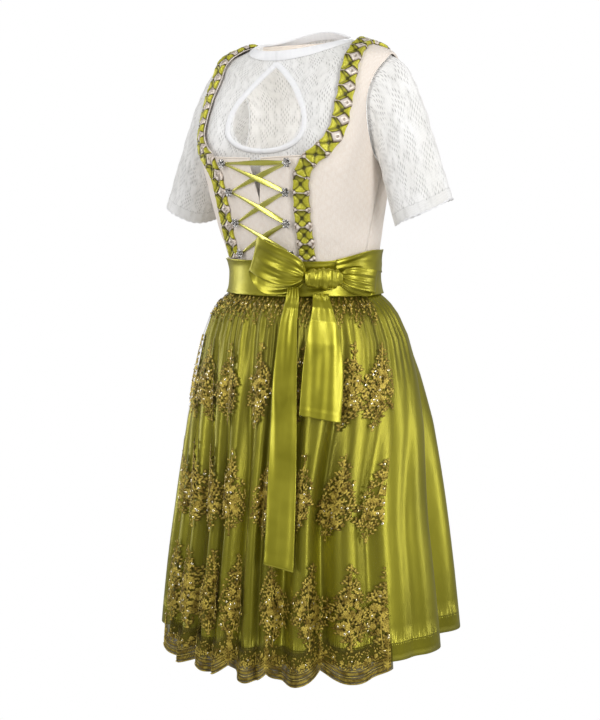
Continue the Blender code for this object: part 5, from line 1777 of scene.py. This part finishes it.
# %% Loops
KNOT_LENGTH, KNOT_TALL, KNOT_DEEP = 0.052, 0.034, 0.025
SEWN_SHARE = 0.86  # the share of a cut that a knotted piece shows


def bow_at(x, y, z):
    """Points beside the knot: x along the sash, y out from it and z up."""
    angle = BOW_ANGLE + x / BOW_ROUND
    point = sash_at(angle, BOW_HEIGHT + z)
    return point + np.stack([np.sin(angle), -np.cos(angle), 0 * angle], -1) * y[..., None]


LOOP = [  # how far out along the loop, how much of its width, and how far from the waist
    (0.00, 0.30, 0.0150), (0.14, 0.74, 0.0215), (0.38, 0.94, 0.0255), (0.70, 1.00, 0.0245),
    (0.92, 1.00, 0.0200), (1.00, 1.00, 0.0150), (0.93, 1.00, 0.0100), (0.70, 0.98, 0.0078),
    (0.38, 0.90, 0.0076), (0.14, 0.66, 0.0078), (0.00, 0.26, 0.0092),
]


def loop_grid(side, length, width, start, rise, back_rise, seed):
    """Out from the knot along the front of the loop, round its end, and back lower along its rear."""
    index = np.linspace(0, len(LOOP) - 1, 84)
    row = along(LOOP, index)[:, None]
    turned = smooth(4.2, 7.5, index)[:, None]
    foot = KNOT_LENGTH / 2 - 1.5 * MM + LOOP[0][1] * width / 2 * abs(math.sin(rise))
    start, rise = start - 0.004 * turned, rise + (back_rise - rise) * turned
    share, wide, out = row[..., 0], row[..., 1], row[..., 2]
    v = np.linspace(-1, 1, 40)[None]
    ahead, across = share * length, v * wide * width / 2
    x = foot + ahead * np.cos(rise) - across * np.sin(rise)
    z = start + ahead * np.sin(rise) + across * np.cos(rise)
    near = np.clip(1 - share, 0, 1)
    rays = np.cos(2.3 * math.pi * v + seed) + 0.40 * np.cos(5.3 * math.pi * v + 2.0 * seed)
    radiating = 2.6 * MM * rays * near**1.2 * smooth(0, 0.10, share)
    spot = np.stack([x * 22, z * 26, np.full(x.shape, seed)], -1)
    soft = 4.6 * MM * waver(spot, 1.0) * smooth(0.1, 0.5, share)
    stand = out + radiating + soft * (1 - smooth(0.9, 1.0, share) * 0.5)
    return bow_at(side * x, np.maximum(stand, 4.6 * MM), z)


for word, loop, flat in (
    ("right", (-1, 0.092, 0.060, 0.004, math.radians(23), math.radians(1), 1.2), (0.20, 0.060)),
    ("left", (1, 0.060, 0.036, 0.005, math.radians(-12), math.radians(-20), 2.9), (0.14, 0.040)),
):
    piece = cloth(f"bow_loop_{word}_satin", loop_grid(*loop), SASH_SATIN, SATIN_WALL)
    wear(piece, "green_satin", f"bow_loop_{word}")
    flat[0] * flat[1] * SEWN_SHARE
    print(word, "loop is cut", flat[0], "long and", flat[1], "wide")


# %% Knot
def knot_skin():
    """A roll of gathered cloth: two lumps with a groove between, and ridges that run across them."""
    stations, around = 60, 96
    ahead = np.linspace(-1, 1, stations)[:, None]
    turn = np.linspace(0, 2 * math.pi, around, endpoint=False)[None]
    groove = 1 - 0.13 * np.exp(-(((ahead + 0.14) / 0.09) ** 2))
    swell = np.sqrt(np.maximum(1 - 0.62 * ahead**2, 0)) * (1 + 0.04 * np.cos(9 * ahead)) * groove
    lines = 0.065 * np.cos(13 * ahead + turn) + 0.030 * np.cos(24 * ahead - turn + 1)
    lines = lines + 0.020 * np.cos(5 * turn + 3.2 * ahead)
    ridge = swell * (1 + lines)
    y = 0.8 * MM + KNOT_DEEP / 2 * (1.05 + ridge * np.cos(turn))
    rings = bow_at(ahead * KNOT_LENGTH / 2 + 0 * turn, y, KNOT_TALL / 2 * ridge * np.sin(turn))
    return loft("bow_knot_satin", rings, SASH_SATIN)


wear(knot_skin(), "green_satin", "bow_knot")
print("knot:", KNOT_LENGTH, "by", KNOT_TALL)

# %% Tails
LONG_TAIL = [  # height, degrees round from the front, width, and how far out from the hoops
    (-0.4020, 27.0, 0.014, 0.0170), (-0.4200, 26.6, 0.018, 0.0150), (-0.4360, 26.2, 0.021, 0.0095),
    (-0.4700, 25.2, 0.026, 0.0078), (-0.5400, 24.2, 0.034, 0.0076), (-0.6200, 23.8, 0.038, 0.0080),
    (-0.7200, 23.8, 0.041, 0.0100), (-0.8320, 23.4, 0.043, 0.0100),
]
SHORT_TAIL = [
    (-0.4120, 45.6, 0.020, 0.0160), (-0.4240, 45.6, 0.024, 0.0140), (-0.4400, 45.4, 0.030, 0.0095),
    (-0.4700, 44.8, 0.042, 0.0076), (-0.5150, 43.8, 0.053, 0.0073), (-0.5600, 42.4, 0.056, 0.0073),
    (-0.6040, 40.8, 0.056, 0.0076),
]
TAIL_LIFT, TAIL_LEAN = 4.6 * MM, math.radians(5.2)


def tail_grid(rows, slant, seed, hem):
    """A tail of the bow: folded where it leaves the knot, flat below, with a hem at its end."""
    share = np.linspace(0, 1, 110)[:, None]
    row = along(rows, share * (len(rows) - 1))
    height, angle, wide, out = (row[..., k] for k in range(4))
    v = np.linspace(-1, 1, 34)[None]
    front = hoop_at(height)[..., 1]
    turned = np.radians(angle) + v * wide / 2 / front
    near = np.exp(-share / 0.16)
    pleat = 3.2 * MM * np.cos(2.2 * math.pi * v + seed) * near
    roll = 0.8 * MM * np.cos(math.pi * v + 2.4 * share + seed) * (1 - near)
    spot = np.stack([v * wide * 45, height * 9 + 0 * v, np.full((110, 34), seed)], -1)
    soft = 1.4 * MM * waver(spot, 1.0) * (1 - near)
    stitched = 0.8 * MM * smooth(1 - hem, 1 - hem * 0.9, share)
    lean = -v * wide / 2 * math.tan(TAIL_LEAN)
    stand = out + TAIL_LIFT + pleat + roll + soft + stitched + lean
    point = outline_at(turned, height + 0 * v, stand)
    point[..., 2] -= slant * (v * share)
    return point


for word, rows, slant, seed, hem, flat in (
    ("long", LONG_TAIL, 0.005, 0.4, 0.028, (0.044, 0.44)),
    ("short", SHORT_TAIL, 0.006, 2.1, 0.060, (0.056, 0.20)),
):
    piece = cloth(f"bow_tail_{word}_satin", tail_grid(rows, slant, seed, hem), SASH_SATIN, SATIN_WALL)
    wear(piece, "green_satin", f"bow_tail_{word}")
    flat[0] * flat[1] * SEWN_SHARE
    print(word, "tail ends at", rows[-1][0])

# %% [markdown]
# ## Floor and size
#
# The dress hangs from its shoulders, so nothing stands on the floor. It lies far below, where it
# throws a little light back and doesn't cut off the hem. The last cell measures what was made and
# sets it against the box of the solids.

# %% Floor
FLOOR_LEVEL = -2.4

bpy.ops.mesh.primitive_plane_add(size=4, location=(0, 0, FLOOR_LEVEL))
floor = bpy.context.active_object
floor.name = "floor"
pale = bpy.data.materials.new("pale_floor")
pale.use_nodes = True
pale.node_tree.nodes["Principled BSDF"].inputs["Base Color"].default_value = (0.85, 0.85, 0.85, 1)
floor.data.materials.append(pale)
print("floor at", FLOOR_LEVEL)

# %% Size
shown = [o for o in bpy.context.scene.objects if o.type == "MESH" and o.name != "floor" and not o.hide_render]
corners = np.array([o.matrix_world @ v.co for o in shown for v in o.data.vertices])
triangles = {o.name: sum(len(p.vertices) - 2 for p in o.data.polygons) for o in shown}
print("pieces:", len(shown), "triangles:", sum(triangles.values()))
print("largest:", sorted(triangles.items(), key=lambda item: -item[1])[:5])
size = {
    "cad": [list(cad_low), list(cad_high)],
    "visual": [corners.min(0).tolist(), corners.max(0).tolist()],
}
print(json.dumps(size))
